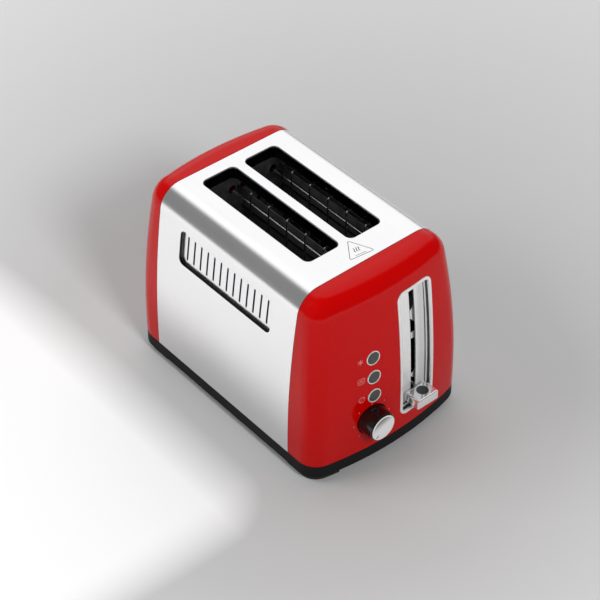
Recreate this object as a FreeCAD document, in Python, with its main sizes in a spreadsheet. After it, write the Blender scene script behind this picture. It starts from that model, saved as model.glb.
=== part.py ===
# Two-slot pop-up toaster, in millimetres.
# X runs to the right as the front is looked at, Y from the control end to the rear, Z up.
# The origin is on the surface that the toaster stands on, under the middle of its overall box.
# Each sub-part is one labelled object of the document, and its STEP file has that label.
import FreeCAD, Part
import Sketcher
import math
import os
import re

Vector = FreeCAD.Vector
doc = FreeCAD.newDocument("Toaster")

# Driving dimensions. Each is a cell of the sheet, under its own name.
SIZES = {
    # casing
    "bodyWidth": 173.4,
    "bodyLength": 261.1,
    "bodyHeight": 188.7,
    "footHeight": 7,
    "baseHeight": 12,
    "leanStart": 10,
    "sideLeanRadius": 914,
    "faceLeanRadius": 895,
    "rearLeanRadius": 1190,
    "faceBowRadius": 328,
    "topCornerRadius": 22,
    "faceEdgeRadius": 19.5,
    "frontCapDepth": 41.3,
    "rearCapDepth": 38.2,
    "capWall": 2.5,
    "steelWall": 0.8,
    "baseWall": 2.5,
    "baseFloor": 2,
    "seamGap": 0.5,
    "lipWall": 1.2,
    "lipReach": 4,
    "fitGap": 0.2,
    "knobReach": 13.6,
    "gripReach": 8,
    # bread slots in the top
    "slotWidth": 36,
    "slotLand": 10.5,
    "slotLength": 140,
    "slotInset": 69.3,
    "slotCorner": 5.5,
    "flangeDepth": 12,
    "flangeBend": 1.6,
    # vents in the sides
    "ventLength": 122,
    "ventHeight": 34.1,
    "ventBottom": 131.3,
    "ventRecess": 3,
    "ventCorner": 5.5,
    "ventPitch": 8.85,
    "ventSlitWidth": 2,
    "ventSlitHeight": 24,
    # lever window
    "bezelWidth": 40.6,
    "bezelHeight": 131.9,
    "bezelCentre": 24.8,
    "bezelBottom": 34.6,
    "bezelRim": 3,
    "bezelCorner": 8,
    "bezelProud": 1,
    "bezelSkirt": 1.2,
    "panelRecess": 7,
    "panelWall": 1.2,
    "leverSlitX": 27.3,
    "leverSlitWidth": 6.4,
    "leverSlitBottom": 41,
    "leverSlitTop": 156,
    # buttons and dial
    "buttonX": -24.3,
    "buttonHeight": 77,
    "buttonPitch": 20.4,
    "buttonRadius": 5.5,
    "buttonGap": 0.3,
    "buttonRim": 1.1,
    "buttonTravel": 1.5,
    "buttonStemRadius": 2,
    "dialX": -26.8,
    "dialHeight": 51.5,
    "dialRadius": 14.5,
    "dialFrontRadius": 13.3,
    "dialCapRadius": 12.4,
    "dialCupGap": 0.8,
    "dialShaftRadius": 3,
    # oven
    "plateWall": 0.8,
    "plateGap": 0.8,
    "plateMargin": 6,
    "plateNotch": 26,
    "plateTop": 182,
    "plateBottom": 20,
    "plateLeg": 12,
    "cardWall": 0.6,
    "cardBottom": 44,
    "cardTop": 164,
    "cardGap": 9.2,
    "ribbonHeight": 2.2,
    "ribbonWall": 0.3,
    "ribbonPitch": 12,
    "reflectorGap": 6.5,
    "reflectorWall": 0.5,
    "wireRadius": 0.8,
    "guardInset": 2.95,
    "guardPivot": 36,
    "guardRail": 162,
    "guardTop": 175.5,
    "guardHook": 3.6,
    "guardPitch": 24.1,
    "pivotGap": 0.08,
    # bread carriage
    "liftTravel": 95,
    "lifterTop": 52,
    "lifterDepth": 9,
    "lifterWall": 1.2,
    "fingerReach": 11.5,
    "armWall": 2,
    "armDepth": 8,
    "armTop": 54.2,
    "rodRadius": 2.5,
    "rodX": 8,
    "rodOffset": 16,
    "knobWidth": 24,
    "knobDepth": 17,
    "knobHeight": 9.8,
    "knobX": 25.5,
    "knobBottom": 45.3,
    "springRadius": 3.4,
    "springWire": 0.4,
    "springOffset": 14,
    "carriageDrop": 11.7,
    "carriageHeight": 17,
    "carriageOverhang": 8,
    "bushLength": 20,
    "bushWall": 2.6,
    "armatureWall": 2,
    "armatureWidth": 13,
    "latchX": -15.5,
    "latchGap": 0.3,
    "coreSide": 6,
    "coreHeight": 14,
    "coilSide": 12,
    "coilHeight": 10,
    # electrics
    "boardFace": 20.2,
    "boardWall": 1.6,
    "boardWidth": 60,
    "boardHeight": 104,
    "boardBottom": 28,
    "boardRight": -2,
    "potRadius": 8.5,
    "potDepth": 9,
    "switchSide": 6,
    "switchDepth": 4,
    # crumb tray and cord outlet
    "trayMargin": 3,
    "trayDepth": 6.6,
    "trayWall": 0.6,
    "trayClearance": 0.5,
    "glandX": 44,
    "glandHeight": 34,
    "glandRadius": 7,
    "glandBore": 3.6,
}

# Details of the pieces, each used where its comment says.
BUTTON_NAMES = ("lower", "middle", "upper")
BASE_SCREW_X = 66  # base screws, from the middle
BASE_SCREW_FRONT = 14  # base screws, ahead of the front seam
BASE_SCREW_REAR = 10  # base screws, behind the rear seam
BOSS_RADIUS = 3.6
BOSS_HEIGHT = 24
BOSS_RIB = 2
SCREW_RADIUS = 1.5
HEAD_RADIUS = 3
HEAD_HEIGHT = 2.2
SMALL_SCREW_RADIUS = 1.05  # the control board's screws
SMALL_HEAD_RADIUS = 2
SMALL_HEAD_HEIGHT = 1.4
POST_RADIUS = 3  # the posts under the control board
POST_INSET = 4
GLAND_STEP = 1.6  # the groove of the cord bush
FOOT_LENGTH = 38
FOOT_WIDTH = 30
FOOT_INSET = 3
FOOT_ROUND = 1.5
KEY_SLIT = (4, 6, 1.4)  # slits in the slots' outer flanges
SKIRT = 0.6  # the wall of a button ring
SWITCH_GAP = 0.4
DISH_DEPTH = 2  # the dish that the dial turns in
DIAL_GAP = 0.6
POINTER = (0.9, 3, 5)  # the groove in the dial's cap
POINTER_INSET = 4.4
POINTER_TURN = 135
LEG_HEIGHT = "50"  # the oven's end plates
PLATE_FOOT = 12
SHELF_LEFT = 20
SHELF_WIDTH = "27"
SHELF_WALL = "1.2"
SHELF_EDGE = 6
TAB_HEIGHT = "8"  # tabs of the heater cards in their slots
TAB_LEVELS = ("cardBottom", "cardTop - " + TAB_HEIGHT)
TAB_GAP = 0.25
TAB_REACH = 1.5
MIRROR_TAB_LOW = "100"  # the reflectors' tabs
MIRROR_TAB_HEIGHT = "20"
MIRROR_DROP = 36
CARD_EDGE = 6
RIBBON_EDGE = 16
RIBBON_GAP = 0.06
RAIL_STEP = 1.3  # a guard's rails, from its wires
RAIL_HOLE = 4
RAIL_REACH = 2.5
HOOK_RADIUS = 1.6
GUARD_WIRES = 5
GUARD_SHIFT = 4.65
CARRIAGE_GAP = 3
CARRIAGE_WALL = 1.2
SPRING_TURNS = 20

# Finished sub-parts, and casing forms by their inset.
SUB_PARTS = []
FORMS = {}

# Places worked out from the driving dimensions.
PLACES = {
    "frontY": "(knobReach - bodyLength - gripReach) / 2",
    "rearY": "(knobReach + bodyLength - gripReach) / 2",
    "seamFront": "frontY + frontCapDepth",
    "seamRear": "rearY - rearCapDepth",
    "baseTop": "footHeight + baseHeight",
    "floorTop": "footHeight + baseFloor",
    "leanZ": "baseTop + leanStart",
    "slotFront": "frontY + slotInset",
    "slotRear": "slotFront + slotLength",
    "slotX": "(slotLand + slotWidth) / 2",
    "plateFront": "slotFront - steelWall - plateGap",
    "plateRear": "slotRear + steelWall + plateGap",
    "ovenLength": "plateRear - plateFront",
    "innerGuardX": "slotLand / 2 + guardInset",
    "outerGuardX": "slotLand / 2 + slotWidth - guardInset",
    "cardOffset": "outerGuardX + cardGap",
    "reflectorOffset": "cardOffset + reflectorGap",
    "plateHalf": "reflectorOffset + plateMargin",
    "trayWidth": "2 * (plateHalf - trayMargin)",
    "rodY": "plateFront - plateWall - rodOffset",
    "boardY": "frontY + boardFace",
    "trayBottom": "floorTop + trayClearance",
    "trayFront": "plateFront + 4",
    "carriageBottom": "lifterTop - carriageDrop",
    "carriageTop": "carriageBottom + carriageHeight",
    "springX": "rodX - springOffset",
    "coreBottom": "carriageBottom - armatureWall - latchGap - coreHeight",
    "tongueY": "boardY + boardWall + 3",
}


def make_sheet():
    """Write the driving dimensions as named cells."""
    sheet = doc.addObject("Spreadsheet::Sheet", "Sizes")
    for row, (name, number) in enumerate(SIZES.items(), 1):
        sheet.set("A%d" % row, name)
        sheet.set("B%d" % row, str(number))
        sheet.setAlias("B%d" % row, name)
    doc.recompute()
    return sheet


def bind(expression):
    """Point each name in an expression at its cell or its place."""
    def owner(match):
        name = match.group(0)
        if name in PLACES:
            return "Places." + name
        if name in SIZES:
            return "Sizes." + name
        return name
    return re.sub(r"[A-Za-z]\w*", owner, str(expression))


def make_places():
    """Keep the worked-out places as properties bound to the sheet."""
    places = doc.addObject("App::VarSet", "Places")
    for name, expression in PLACES.items():
        places.addProperty("App::PropertyFloat", name, "Places")
        places.setExpression(name, bind(expression))
    doc.recompute()
    return places


sheet = make_sheet()
places = make_places()


def size(name):
    """Read one driving dimension or worked-out place as a number."""
    if name in PLACES:
        return float(getattr(places, name))
    return float(sheet.get(name))


# ---------------------------------------------------------------- document helpers

def name_part(obj, label):
    """Give a finished sub-part the label that names its file."""
    obj.Label = label
    SUB_PARTS.append(obj)
    return obj


def scratch(kind, name):
    """Add a document object with a name made from its sub-part's."""
    return doc.addObject(kind, name)


def put(obj, corner):
    """Bind a placement's base to three expressions."""
    for axis, expression in zip("xyz", corner):
        obj.setExpression("Placement.Base." + axis, bind(expression))
    return obj


def box(name, corner, extent):
    """A block from its low corner and its three extents, all expressions."""
    obj = scratch("Part::Box", name)
    for side, expression in zip(("Length", "Width", "Height"), extent):
        obj.setExpression(side, bind(expression))
    return put(obj, corner)


AXIS_TURN = {
    "x": FreeCAD.Rotation(Vector(0, 1, 0), 90),
    "y": FreeCAD.Rotation(Vector(1, 0, 0), -90),
    "z": FreeCAD.Rotation(),
}


def rod(name, start, radius, length, axis):
    """A cylinder from the centre of its low end, along +X, +Y or +Z."""
    obj = scratch("Part::Cylinder", name)
    obj.Placement = FreeCAD.Placement(Vector(), AXIS_TURN[axis])
    obj.setExpression("Radius", bind(radius))
    obj.setExpression("Height", bind(length))
    return put(obj, start)


def fuse(name, pieces):
    """Join overlapping or touching pieces into one."""
    obj = scratch("Part::MultiFuse", name)
    obj.Shapes = pieces
    obj.Refine = True
    return obj


def cut(name, base, tool):
    """Take a tool away from a base."""
    obj = scratch("Part::Cut", name)
    obj.Base = base
    obj.Tool = tool
    obj.Refine = True
    return obj


def group(name, pieces):
    """Keep like pieces as separate solids of one sub-part."""
    obj = scratch("Part::Compound", name)
    obj.Links = pieces
    return obj


def feature(name, shape):
    """A sub-part whose shape is worked out directly."""
    obj = scratch("Part::Feature", name)
    obj.Shape = shape
    obj.Placement = FreeCAD.Placement()
    return obj


def outline(body, name, role, corners, lift="0"):
    """A closed sketch of straight sides whose corners are bound to expressions."""
    sketch = body.newObject("Sketcher::SketchObject", name)
    plane = [item for item in body.Origin.OriginFeatures if item.Role == role][0]
    sketch.AttachmentSupport = [(plane, "")]
    sketch.MapMode = "FlatFace"
    sketch.setExpression("AttachmentOffset.Base.z", bind(lift))
    count = len(corners)
    points = [Vector(math.cos(2 * math.pi * i / count), math.sin(2 * math.pi * i / count), 0)
              for i in range(count)]
    for i in range(count):
        sketch.addGeometry(Part.LineSegment(points[i], points[(i + 1) % count]), False)
    for i in range(count):
        sketch.addConstraint(Sketcher.Constraint("Coincident", i, 2, (i + 1) % count, 1))
    for i, corner in enumerate(corners):
        for kind, expression, now in zip(("DistanceX", "DistanceY"), corner, points[i]):
            index = sketch.addConstraint(Sketcher.Constraint(kind, -1, 1, i, 1, now))
            sketch.setExpression("Constraints[%d]" % index, bind(expression))
    return sketch


def turned_body(name, corners, placement):
    """A body turned about its own Z axis from (radius, height) corners."""
    body = doc.addObject("PartDesign::Body", name)
    sketch = outline(body, name + "_profile", "XZ_Plane", corners)
    turn = body.newObject("PartDesign::Revolution", name + "_turn")
    turn.Profile = sketch
    turn.ReferenceAxis = (sketch, ["V_Axis"])
    turn.Angle = 360
    body.Tip = turn
    body.Placement = placement
    return body


def padded_body(name, role, corners, length, lift="0", rounding=None):
    """A body padded from a straight-sided outline, with all edges rounded if asked."""
    body = doc.addObject("PartDesign::Body", name)
    sketch = outline(body, name + "_profile", role, corners, lift)
    pad = body.newObject("PartDesign::Pad", name + "_pad")
    pad.Profile = sketch
    pad.setExpression("Length", bind(length))
    body.Tip = pad
    if rounding:
        doc.recompute()
        round_edges = body.newObject("PartDesign::Fillet", name + "_round")
        round_edges.Base = (pad, [])
        round_edges.UseAllEdges = True
        round_edges.setExpression("Radius", bind(rounding))
        body.Tip = round_edges
    return body


# ---------------------------------------------------------------- casing form

def side_section(inset):
    """Cross-section of the casing, moved in by the inset: upright, then leaning in on an arc."""
    half = size("bodyWidth") / 2 - inset
    top = size("bodyHeight") - inset
    lean_z = size("leanZ")
    radius = size("sideLeanRadius") - inset
    centre = half - radius

    def edge_x(height):
        return centre + math.sqrt(radius ** 2 - (height - lean_z) ** 2)

    middle = (lean_z + top) / 2
    right = [Vector(half, 0, 0), Vector(half, 0, lean_z), Vector(edge_x(middle), 0, middle),
             Vector(edge_x(top), 0, top)]
    left = [Vector(-point.x, 0, point.z) for point in right]
    edges = [
        Part.LineSegment(left[0], right[0]).toShape(),
        Part.LineSegment(right[0], right[1]).toShape(),
        Part.Arc(right[1], right[2], right[3]).toShape(),
        Part.LineSegment(right[3], left[3]).toShape(),
        Part.Arc(left[3], left[2], left[1]).toShape(),
        Part.LineSegment(left[1], left[0]).toShape(),
    ]
    return Part.Face(Part.Wire(edges))


def side_prism(inset):
    """The casing's cross-section run along its length, with its top corners rounded."""
    reach = size("bodyLength")
    face = side_section(inset)
    face.translate(Vector(0, -reach, 0))
    prism = face.extrude(Vector(0, 2 * reach, 0))
    top = size("bodyHeight") - inset
    corners = [edge for edge in prism.Edges
               if len(edge.Vertexes) == 2
               and all(abs(vertex.Point.z - top) < 1e-6 for vertex in edge.Vertexes)
               and abs(edge.Vertexes[0].Point.y - edge.Vertexes[1].Point.y) > reach]
    return prism.makeFillet(size("topCornerRadius") - inset, corners)


def face_radius(inset, height, facing=-1):
    """Plan radius of an end face at a height: upright, then leaning in on an arc."""
    radius = size("faceLeanRadius" if facing < 0 else "rearLeanRadius") - inset
    rise = max(0.0, height - size("leanZ"))
    return size("faceBowRadius") - inset - radius + math.sqrt(radius ** 2 - rise ** 2)


def face_barrel(inset, facing):
    """The solid behind an end face: facing is -1 for the front and +1 for the rear."""
    end = size("frontY") if facing < 0 else size("rearY")
    axis_y = end - facing * size("faceBowRadius")
    lean_z = size("leanZ")
    top = size("bodyHeight") + 10
    middle = (lean_z + top) / 2
    foot = Vector(face_radius(inset, 0, facing), 0, 0)
    bend = Vector(face_radius(inset, lean_z, facing), 0, lean_z)
    half_way = Vector(face_radius(inset, middle, facing), 0, middle)
    head = Vector(face_radius(inset, top, facing), 0, top)
    edges = [
        Part.LineSegment(Vector(0, 0, 0), foot).toShape(),
        Part.LineSegment(foot, bend).toShape(),
        Part.Arc(bend, half_way, head).toShape(),
        Part.LineSegment(head, Vector(0, 0, top)).toShape(),
        Part.LineSegment(Vector(0, 0, top), Vector(0, 0, 0)).toShape(),
    ]
    barrel = Part.Face(Part.Wire(edges)).revolve(Vector(0, 0, 0), Vector(0, 0, 1), 360)
    barrel.rotate(Vector(0, 0, 0), Vector(0, 0, 1), 90 * facing + 180)
    barrel.translate(Vector(0, axis_y, 0))
    return barrel


def body_form(inset):
    """The whole casing as one solid, moved in by the inset, its end edges rounded."""
    form = side_prism(inset)
    for facing in (-1, 1):
        form = form.common(face_barrel(inset, facing))
    form = form.removeSplitter()
    rims = []
    for edge in form.Edges:
        middle = edge.valueAt((edge.FirstParameter + edge.LastParameter) / 2)
        if middle.z < 1e-3:
            continue
        for facing in (-1, 1):
            end = size("frontY") if facing < 0 else size("rearY")
            axis_y = end - facing * size("faceBowRadius")
            radius = math.hypot(middle.x, middle.y - axis_y)
            near_end = facing * (middle.y - axis_y) > 0
            if near_end and abs(radius - face_radius(inset, middle.z, facing)) < 1e-3:
                rims.append(edge)
    return form.makeFillet(size("faceEdgeRadius") - inset, rims)


def form(inset):
    """The casing form at an inset, made once and kept."""
    key = round(inset, 4)
    if key not in FORMS:
        FORMS[key] = body_form(inset)
    return FORMS[key]


def slab(low_y, high_y, low_z, high_z):
    """A block across the whole width, used to take a slice of the casing."""
    width = size("bodyWidth") + 20
    return Part.makeBox(width, high_y - low_y, high_z - low_z, Vector(-width / 2, low_y, low_z))


def rounded_block(low, high, axis, radius):
    """A block with its four edges along one axis rounded."""
    block = Part.makeBox(high[0] - low[0], high[1] - low[1], high[2] - low[2], Vector(*low))
    index = "xyz".index(axis)
    edges = []
    for edge in block.Edges:
        step = edge.Vertexes[1].Point - edge.Vertexes[0].Point
        if abs(abs(step[index]) - step.Length) < 1e-9:
            edges.append(edge)
    return block.makeFillet(radius, edges)


def shell(inset, wall):
    """A skin of the casing form, from one inset to a wall further in."""
    return form(inset).cut(form(inset + wall))


def face_frame(x, height):
    """Point and outward normal of the front face at a place on it."""
    radius = face_radius(0, height)
    turn = math.asin(x / radius)
    rise = max(0.0, height - size("leanZ"))
    lean = math.asin(rise / size("faceLeanRadius"))
    axis_y = size("frontY") + size("faceBowRadius")
    point = Vector(x, axis_y - radius * math.cos(turn), height)
    normal = Vector(math.sin(turn) * math.cos(lean), -math.cos(turn) * math.cos(lean), math.sin(lean))
    return point, normal


# ---------------------------------------------------------------- casing

def vent_pan(side):
    """One stamped vent: what it adds to the side sheet and what it takes away."""
    middle = (size("seamFront") + size("seamRear")) / 2
    wall = size("steelWall")
    recess = size("ventRecess")
    low_z = size("ventBottom")
    high_z = low_z + size("ventHeight")
    half = size("ventLength") / 2
    near = size("bodyWidth") / 4
    far = size("bodyWidth") / 2 + 5

    def window(grow):
        low_x, high_x = sorted((side * near, side * far))
        low = (low_x, middle - half - grow, low_z - grow)
        high = (high_x, middle + half + grow, high_z + grow)
        return rounded_block(low, high, "x", size("ventCorner") + grow)

    opening = window(0)
    outer = window(wall)
    deep = side_prism(recess + wall)
    added = side_prism(0).cut(deep).common(outer)
    taken = opening.cut(side_prism(recess))
    slit_middle = low_z + size("ventHeight") / 2
    pitch = size("ventPitch")
    slit_half = size("ventSlitWidth") / 2
    count = int(size("ventLength") / pitch)
    for index in range(count):
        slit_y = middle + (index - (count - 1) / 2) * pitch
        low_x, high_x = sorted((side * near, side * far))
        low = (low_x, slit_y - slit_half, slit_middle - size("ventSlitHeight") / 2)
        high = (high_x, slit_y + slit_half, slit_middle + size("ventSlitHeight") / 2)
        taken = taken.fuse(rounded_block(low, high, "x", slit_half * 0.9))
    return added, taken


def slot_block(side, grow, low_z, high_z):
    """A block over one bread slot, grown all round."""
    centre = side * size("slotX")
    half = size("slotWidth") / 2 + grow
    low = (centre - half, size("slotFront") - grow, low_z)
    high = (centre + half, size("slotRear") + grow, high_z)
    return rounded_block(low, high, "z", size("slotCorner") + grow)


def make_steel_shell():
    """Steel wrap: sides and top in one sheet, turned down into the slots, vents stamped in."""
    wall = size("steelWall")
    gap = size("seamGap") / 2
    top = size("bodyHeight")
    skin = side_prism(0).cut(side_prism(wall))
    skin = skin.common(slab(size("seamFront") + gap, size("seamRear") - gap, size("baseTop") + gap, top + 1))
    for side in (-1, 1):
        added, taken = vent_pan(side)
        skin = skin.fuse(added).cut(taken)
        flange = slot_block(side, wall, top - size("flangeDepth"), top - wall / 2)
        skin = skin.fuse(flange).cut(slot_block(side, 0, top - size("flangeDepth") - 1, top + 1))
    skin = skin.removeSplitter()
    inner_half = size("slotWidth") / 2
    rims = []
    for edge in skin.Edges:
        middle = edge.valueAt((edge.FirstParameter + edge.LastParameter) / 2)
        on_top = all(abs(vertex.Point.z - top) < 1e-6 for vertex in edge.Vertexes)
        from_slot = abs(abs(middle.x) - size("slotX"))
        inside = size("slotFront") - 1e-3 <= middle.y <= size("slotRear") + 1e-3
        if on_top and inside and from_slot <= inner_half + 1e-3 and abs(middle.z - top) < 1e-6:
            rims.append(edge)
    skin = skin.makeFillet(size("flangeBend") * wall, rims)
    for side in (-1, 1):
        for index in (-1, 0, 1):
            skin = skin.cut(key_slit(side, index))
    return name_part(feature("steel_shell_form", skin), "steel_shell")


def key_slit(side, index):
    """One short slit in a slot's outer flange."""
    x = side * (size("slotX") + size("slotWidth") / 2)
    y = (size("slotFront") + size("slotRear")) / 2 + index * size("guardPitch") * 2
    low_z = size("bodyHeight") - size("flangeDepth") * 0.75
    return Part.makeBox(*KEY_SLIT, Vector(x - KEY_SLIT[0] / 2, y - KEY_SLIT[1] / 2, low_z))


def cap_lip(facing):
    """The step on a cap's open edge that sits under the steel."""
    inset = size("steelWall") + size("fitGap")
    seam = size("seamFront") if facing < 0 else size("seamRear")
    root = seam + facing * 2 * size("capWall")
    tip = seam - facing * size("lipReach")
    low_y, high_y = sorted((root, tip))
    low_z = size("baseTop") + size("seamGap") / 2
    return shell(inset, size("lipWall")).common(slab(low_y, high_y, low_z, size("bodyHeight")))


def cap_skin(facing):
    """A cap's moulded skin with its lip."""
    gap = size("seamGap") / 2
    seam = size("seamFront") if facing < 0 else size("seamRear")
    reach = size("bodyLength")
    low_y, high_y = sorted((seam + facing * gap, seam + facing * reach))
    low_z = size("baseTop") + gap
    skin = shell(0, size("capWall")).common(slab(low_y, high_y, low_z, size("bodyHeight") + 1))
    return skin.fuse(cap_lip(facing))


def base_screw_places():
    """Where the base is screwed up into the two caps: x and y of each screw."""
    front = size("seamFront") - BASE_SCREW_FRONT
    rear = size("seamRear") + BASE_SCREW_REAR
    return [(side * BASE_SCREW_X, y) for y in (front, rear) for side in (-1, 1)]


def cap_boss(x, y):
    """A screw boss on a cap, tied to the side wall by a rib."""
    low_z = size("baseTop") + size("seamGap") / 2
    boss = Part.makeCylinder(BOSS_RADIUS, BOSS_HEIGHT, Vector(x, y, low_z))
    low_x, high_x = sorted((x, math.copysign(size("bodyWidth") / 2, x)))
    rib = Part.makeBox(high_x - low_x, BOSS_RIB, BOSS_HEIGHT, Vector(low_x, y - BOSS_RIB / 2, low_z))
    return boss.fuse(rib).common(form(size("capWall") / 2))


def cap_boss_hole(x, y):
    """The blind hole that a base screw cuts its thread in."""
    low_z = size("baseTop")
    return Part.makeCylinder(SCREW_RADIUS, BOSS_HEIGHT * 0.75, Vector(x, y, low_z))


def window_block(grow, deep):
    """The lever window's rounded outline, grown, from in front of the face to a depth."""
    half = size("bezelWidth") / 2 - size("bezelRim") + grow
    centre = size("bezelCentre")
    low_z = size("bezelBottom") + size("bezelRim") - grow
    high_z = size("bezelBottom") + size("bezelHeight") - size("bezelRim") + grow
    low = (centre - half, size("frontY") - 10, low_z)
    high = (centre + half, size("frontY") + deep, high_z)
    return rounded_block(low, high, "y", size("bezelCorner") - size("bezelRim") + grow)


def dial_cup_floor():
    """Y of the front of the dish that the dial sits in."""
    point, _ = face_frame(size("dialX") - size("dialRadius"), size("dialHeight"))
    return point.y + DISH_DEPTH


def y_cylinder(x, z, radius, low_y, high_y):
    """A cylinder along Y."""
    return Part.makeCylinder(radius, high_y - low_y, Vector(x, low_y, z), Vector(0, 1, 0))


def board_posts():
    """Posts inside the front cap that the control board is screwed to."""
    posts = []
    for x, z in board_post_places():
        post = y_cylinder(x, z, POST_RADIUS, size("frontY"), size("boardY"))
        posts.append(post.common(form(size("capWall") / 2)))
    return posts


def board_post_places():
    """x and z of the control board's four posts."""
    right = size("boardRight") - POST_INSET
    left = size("boardRight") - size("boardWidth") + POST_INSET
    low = size("boardBottom") + POST_INSET
    high = size("boardBottom") + size("boardHeight") - POST_INSET
    return [(left, low), (right, low), (left, high), (right, high)]


def make_front_cap():
    """Moulded front cover with the lever window, button holes and dial dish."""
    cap = cap_skin(-1)
    radius = size("dialRadius") + size("dialCupGap")
    wall = size("capWall")
    x = size("dialX")
    z = size("dialHeight")
    floor_y = dial_cup_floor()
    cup = y_cylinder(x, z, radius + wall * 0.6, size("frontY"), floor_y + wall * 0.6)
    cap = cap.fuse(cup.common(form(0)))
    cap = cap.cut(y_cylinder(x, z, radius, size("frontY") - 5, floor_y))
    cap = cap.cut(y_cylinder(x, z, size("dialShaftRadius") + 0.6, floor_y - 1, floor_y + 5))
    for post in board_posts():
        cap = cap.fuse(post)
    for boss_x, boss_y in base_screw_places():
        if boss_y < 0:
            cap = cap.fuse(cap_boss(boss_x, boss_y)).cut(cap_boss_hole(boss_x, boss_y))
    for post_x, post_z in board_post_places():
        hole = y_cylinder(post_x, post_z, SMALL_SCREW_RADIUS + 0.05, size("boardY") - 7, size("boardY") + 1)
        cap = cap.cut(hole)
    grow = size("bezelSkirt") + size("fitGap")
    cap = cap.cut(window_block(grow, size("frontCapDepth")))
    for height in button_heights():
        cap = cap.cut(along_normal(height, size("buttonRadius") + size("buttonGap") + SKIRT + 0.1, -8, 4))
    return name_part(feature("front_cap_form", cap.removeSplitter()), "front_cap")


def make_rear_cap():
    """Moulded rear cover with the cord outlet."""
    cap = cap_skin(1)
    for boss_x, boss_y in base_screw_places():
        if boss_y > 0:
            cap = cap.fuse(cap_boss(boss_x, boss_y)).cut(cap_boss_hole(boss_x, boss_y))
    hole = y_cylinder(size("glandX"), size("glandHeight"), size("glandRadius") - GLAND_STEP,
                      size("rearY") - 20, size("rearY") + 10)
    return name_part(feature("rear_cap_form", cap.cut(hole).removeSplitter()), "rear_cap")


def make_cord_gland():
    """Rubber bush in the rear cap that the supply cord passes through."""
    x = size("glandX")
    z = size("glandHeight")
    face_y = size("rearY") - (x ** 2) / (2 * size("faceBowRadius"))
    wall = size("capWall")
    flange = y_cylinder(x, z, size("glandRadius"), face_y - 3, face_y + 4)
    flange = flange.cut(form(0)).cut(form(-0.05))
    neck = y_cylinder(x, z, size("glandRadius") - GLAND_STEP - 0.1, face_y - wall - 3, face_y + 2)
    collar = y_cylinder(x, z, size("glandRadius"), face_y - wall - 3, face_y)
    collar = collar.common(form(wall + 0.4))
    bush = flange.fuse(neck).fuse(collar)
    bush = bush.cut(y_cylinder(x, z, size("glandBore"), face_y - 20, face_y + 20))
    return name_part(feature("cord_gland_form", bush.removeSplitter()), "cord_gland")


def make_base():
    """Dark base tub: band, floor, tray rails and the tray's doorway in the rear wall."""
    gap = size("seamGap") / 2
    low = size("footHeight")
    high = size("baseTop") - gap
    reach = size("bodyLength")
    band = form(0).cut(form(size("baseWall"))).common(slab(-reach, reach, low, high))
    floor = form(0).common(slab(-reach, reach, low, size("floorTop")))
    tub = band.fuse(floor)
    half = size("trayWidth") / 2
    rail_low_y = size("trayFront")
    for side in (-1, 1):
        low_x = side * (half + 1.6) - 0.8
        rail = Part.makeBox(1.6, size("rearY") - rail_low_y - 4, size("trayDepth"),
                            Vector(low_x, rail_low_y, size("floorTop") - 0.5))
        tub = tub.fuse(rail)
    door = Part.makeBox(size("trayWidth") + 1, 30, size("trayDepth") + 2 * size("trayClearance"),
                        Vector(-half - 0.5, size("rearY") - 15, size("floorTop")))
    tub = tub.cut(door)
    for x, y in base_screw_places():
        pillar = Part.makeCylinder(BOSS_RADIUS, size("baseHeight") - gap, Vector(x, y, low))
        tub = tub.fuse(pillar)
    for x, y in base_screw_places() + plate_screw_places():
        tub = tub.cut(Part.makeCylinder(SCREW_RADIUS + 0.2, 30, Vector(x, y, 0)))
    return name_part(feature("base_form", tub.removeSplitter()), "base")


def make_feet():
    """Four moulded rubber pads that follow the corners of the base."""
    height = size("footHeight")
    pads = []
    for end, front in (("front", True), ("rear", False)):
        for side, sign in (("left", -1), ("right", 1)):
            outer_x = sign * size("bodyWidth") / 2
            low_x, high_x = sorted((outer_x, outer_x - sign * FOOT_WIDTH))
            low_y = size("frontY") if front else size("rearY") - FOOT_LENGTH - 8
            block = Part.makeBox(high_x - low_x, FOOT_LENGTH + 8, height, Vector(low_x, low_y, 0))
            pad = form(FOOT_INSET).common(block).removeSplitter()
            upright = [edge for edge in pad.Edges if on_level(edge, 0)]
            pad = pad.makeFillet(FOOT_ROUND, upright)
            for x, y in base_screw_places() + plate_screw_places():
                pad = pad.cut(Part.makeCylinder(HEAD_RADIUS + 0.5, height + 2, Vector(x, y, -1)))
            label = "foot_%s_%s" % (end, side)
            pads.append(name_part(feature(label + "_form", pad), label))
    return pads


def on_level(edge, level):
    """True where an edge lies at one height."""
    return all(abs(vertex.Point.z - level) < 1e-6 for vertex in edge.Vertexes)


# ---------------------------------------------------------------- front controls

def button_heights():
    """Heights of the button centres, from the lowest up."""
    return [size("buttonHeight") + index * size("buttonPitch") for index in range(3)]


def along_normal(height, radius, low, high):
    """A cylinder on a button's axis, between two distances from the face."""
    point, normal = face_frame(size("buttonX"), height)
    return Part.makeCylinder(radius, high - low, point + normal * low, normal)


def button_placement(height):
    """Where a button's own Z axis stands square to the front face."""
    point, normal = face_frame(size("buttonX"), height)
    return FreeCAD.Placement(point, FreeCAD.Rotation(Vector(0, 0, 1), normal))


def stem_length(height):
    """Distance down a button's axis to the tip of its stem, clear of its switch when pressed."""
    point, normal = face_frame(size("buttonX"), height)
    switch_face = size("boardY") - size("switchDepth")
    run = (switch_face - point.y) / -normal.y
    return run - size("buttonTravel") - SWITCH_GAP


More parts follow.
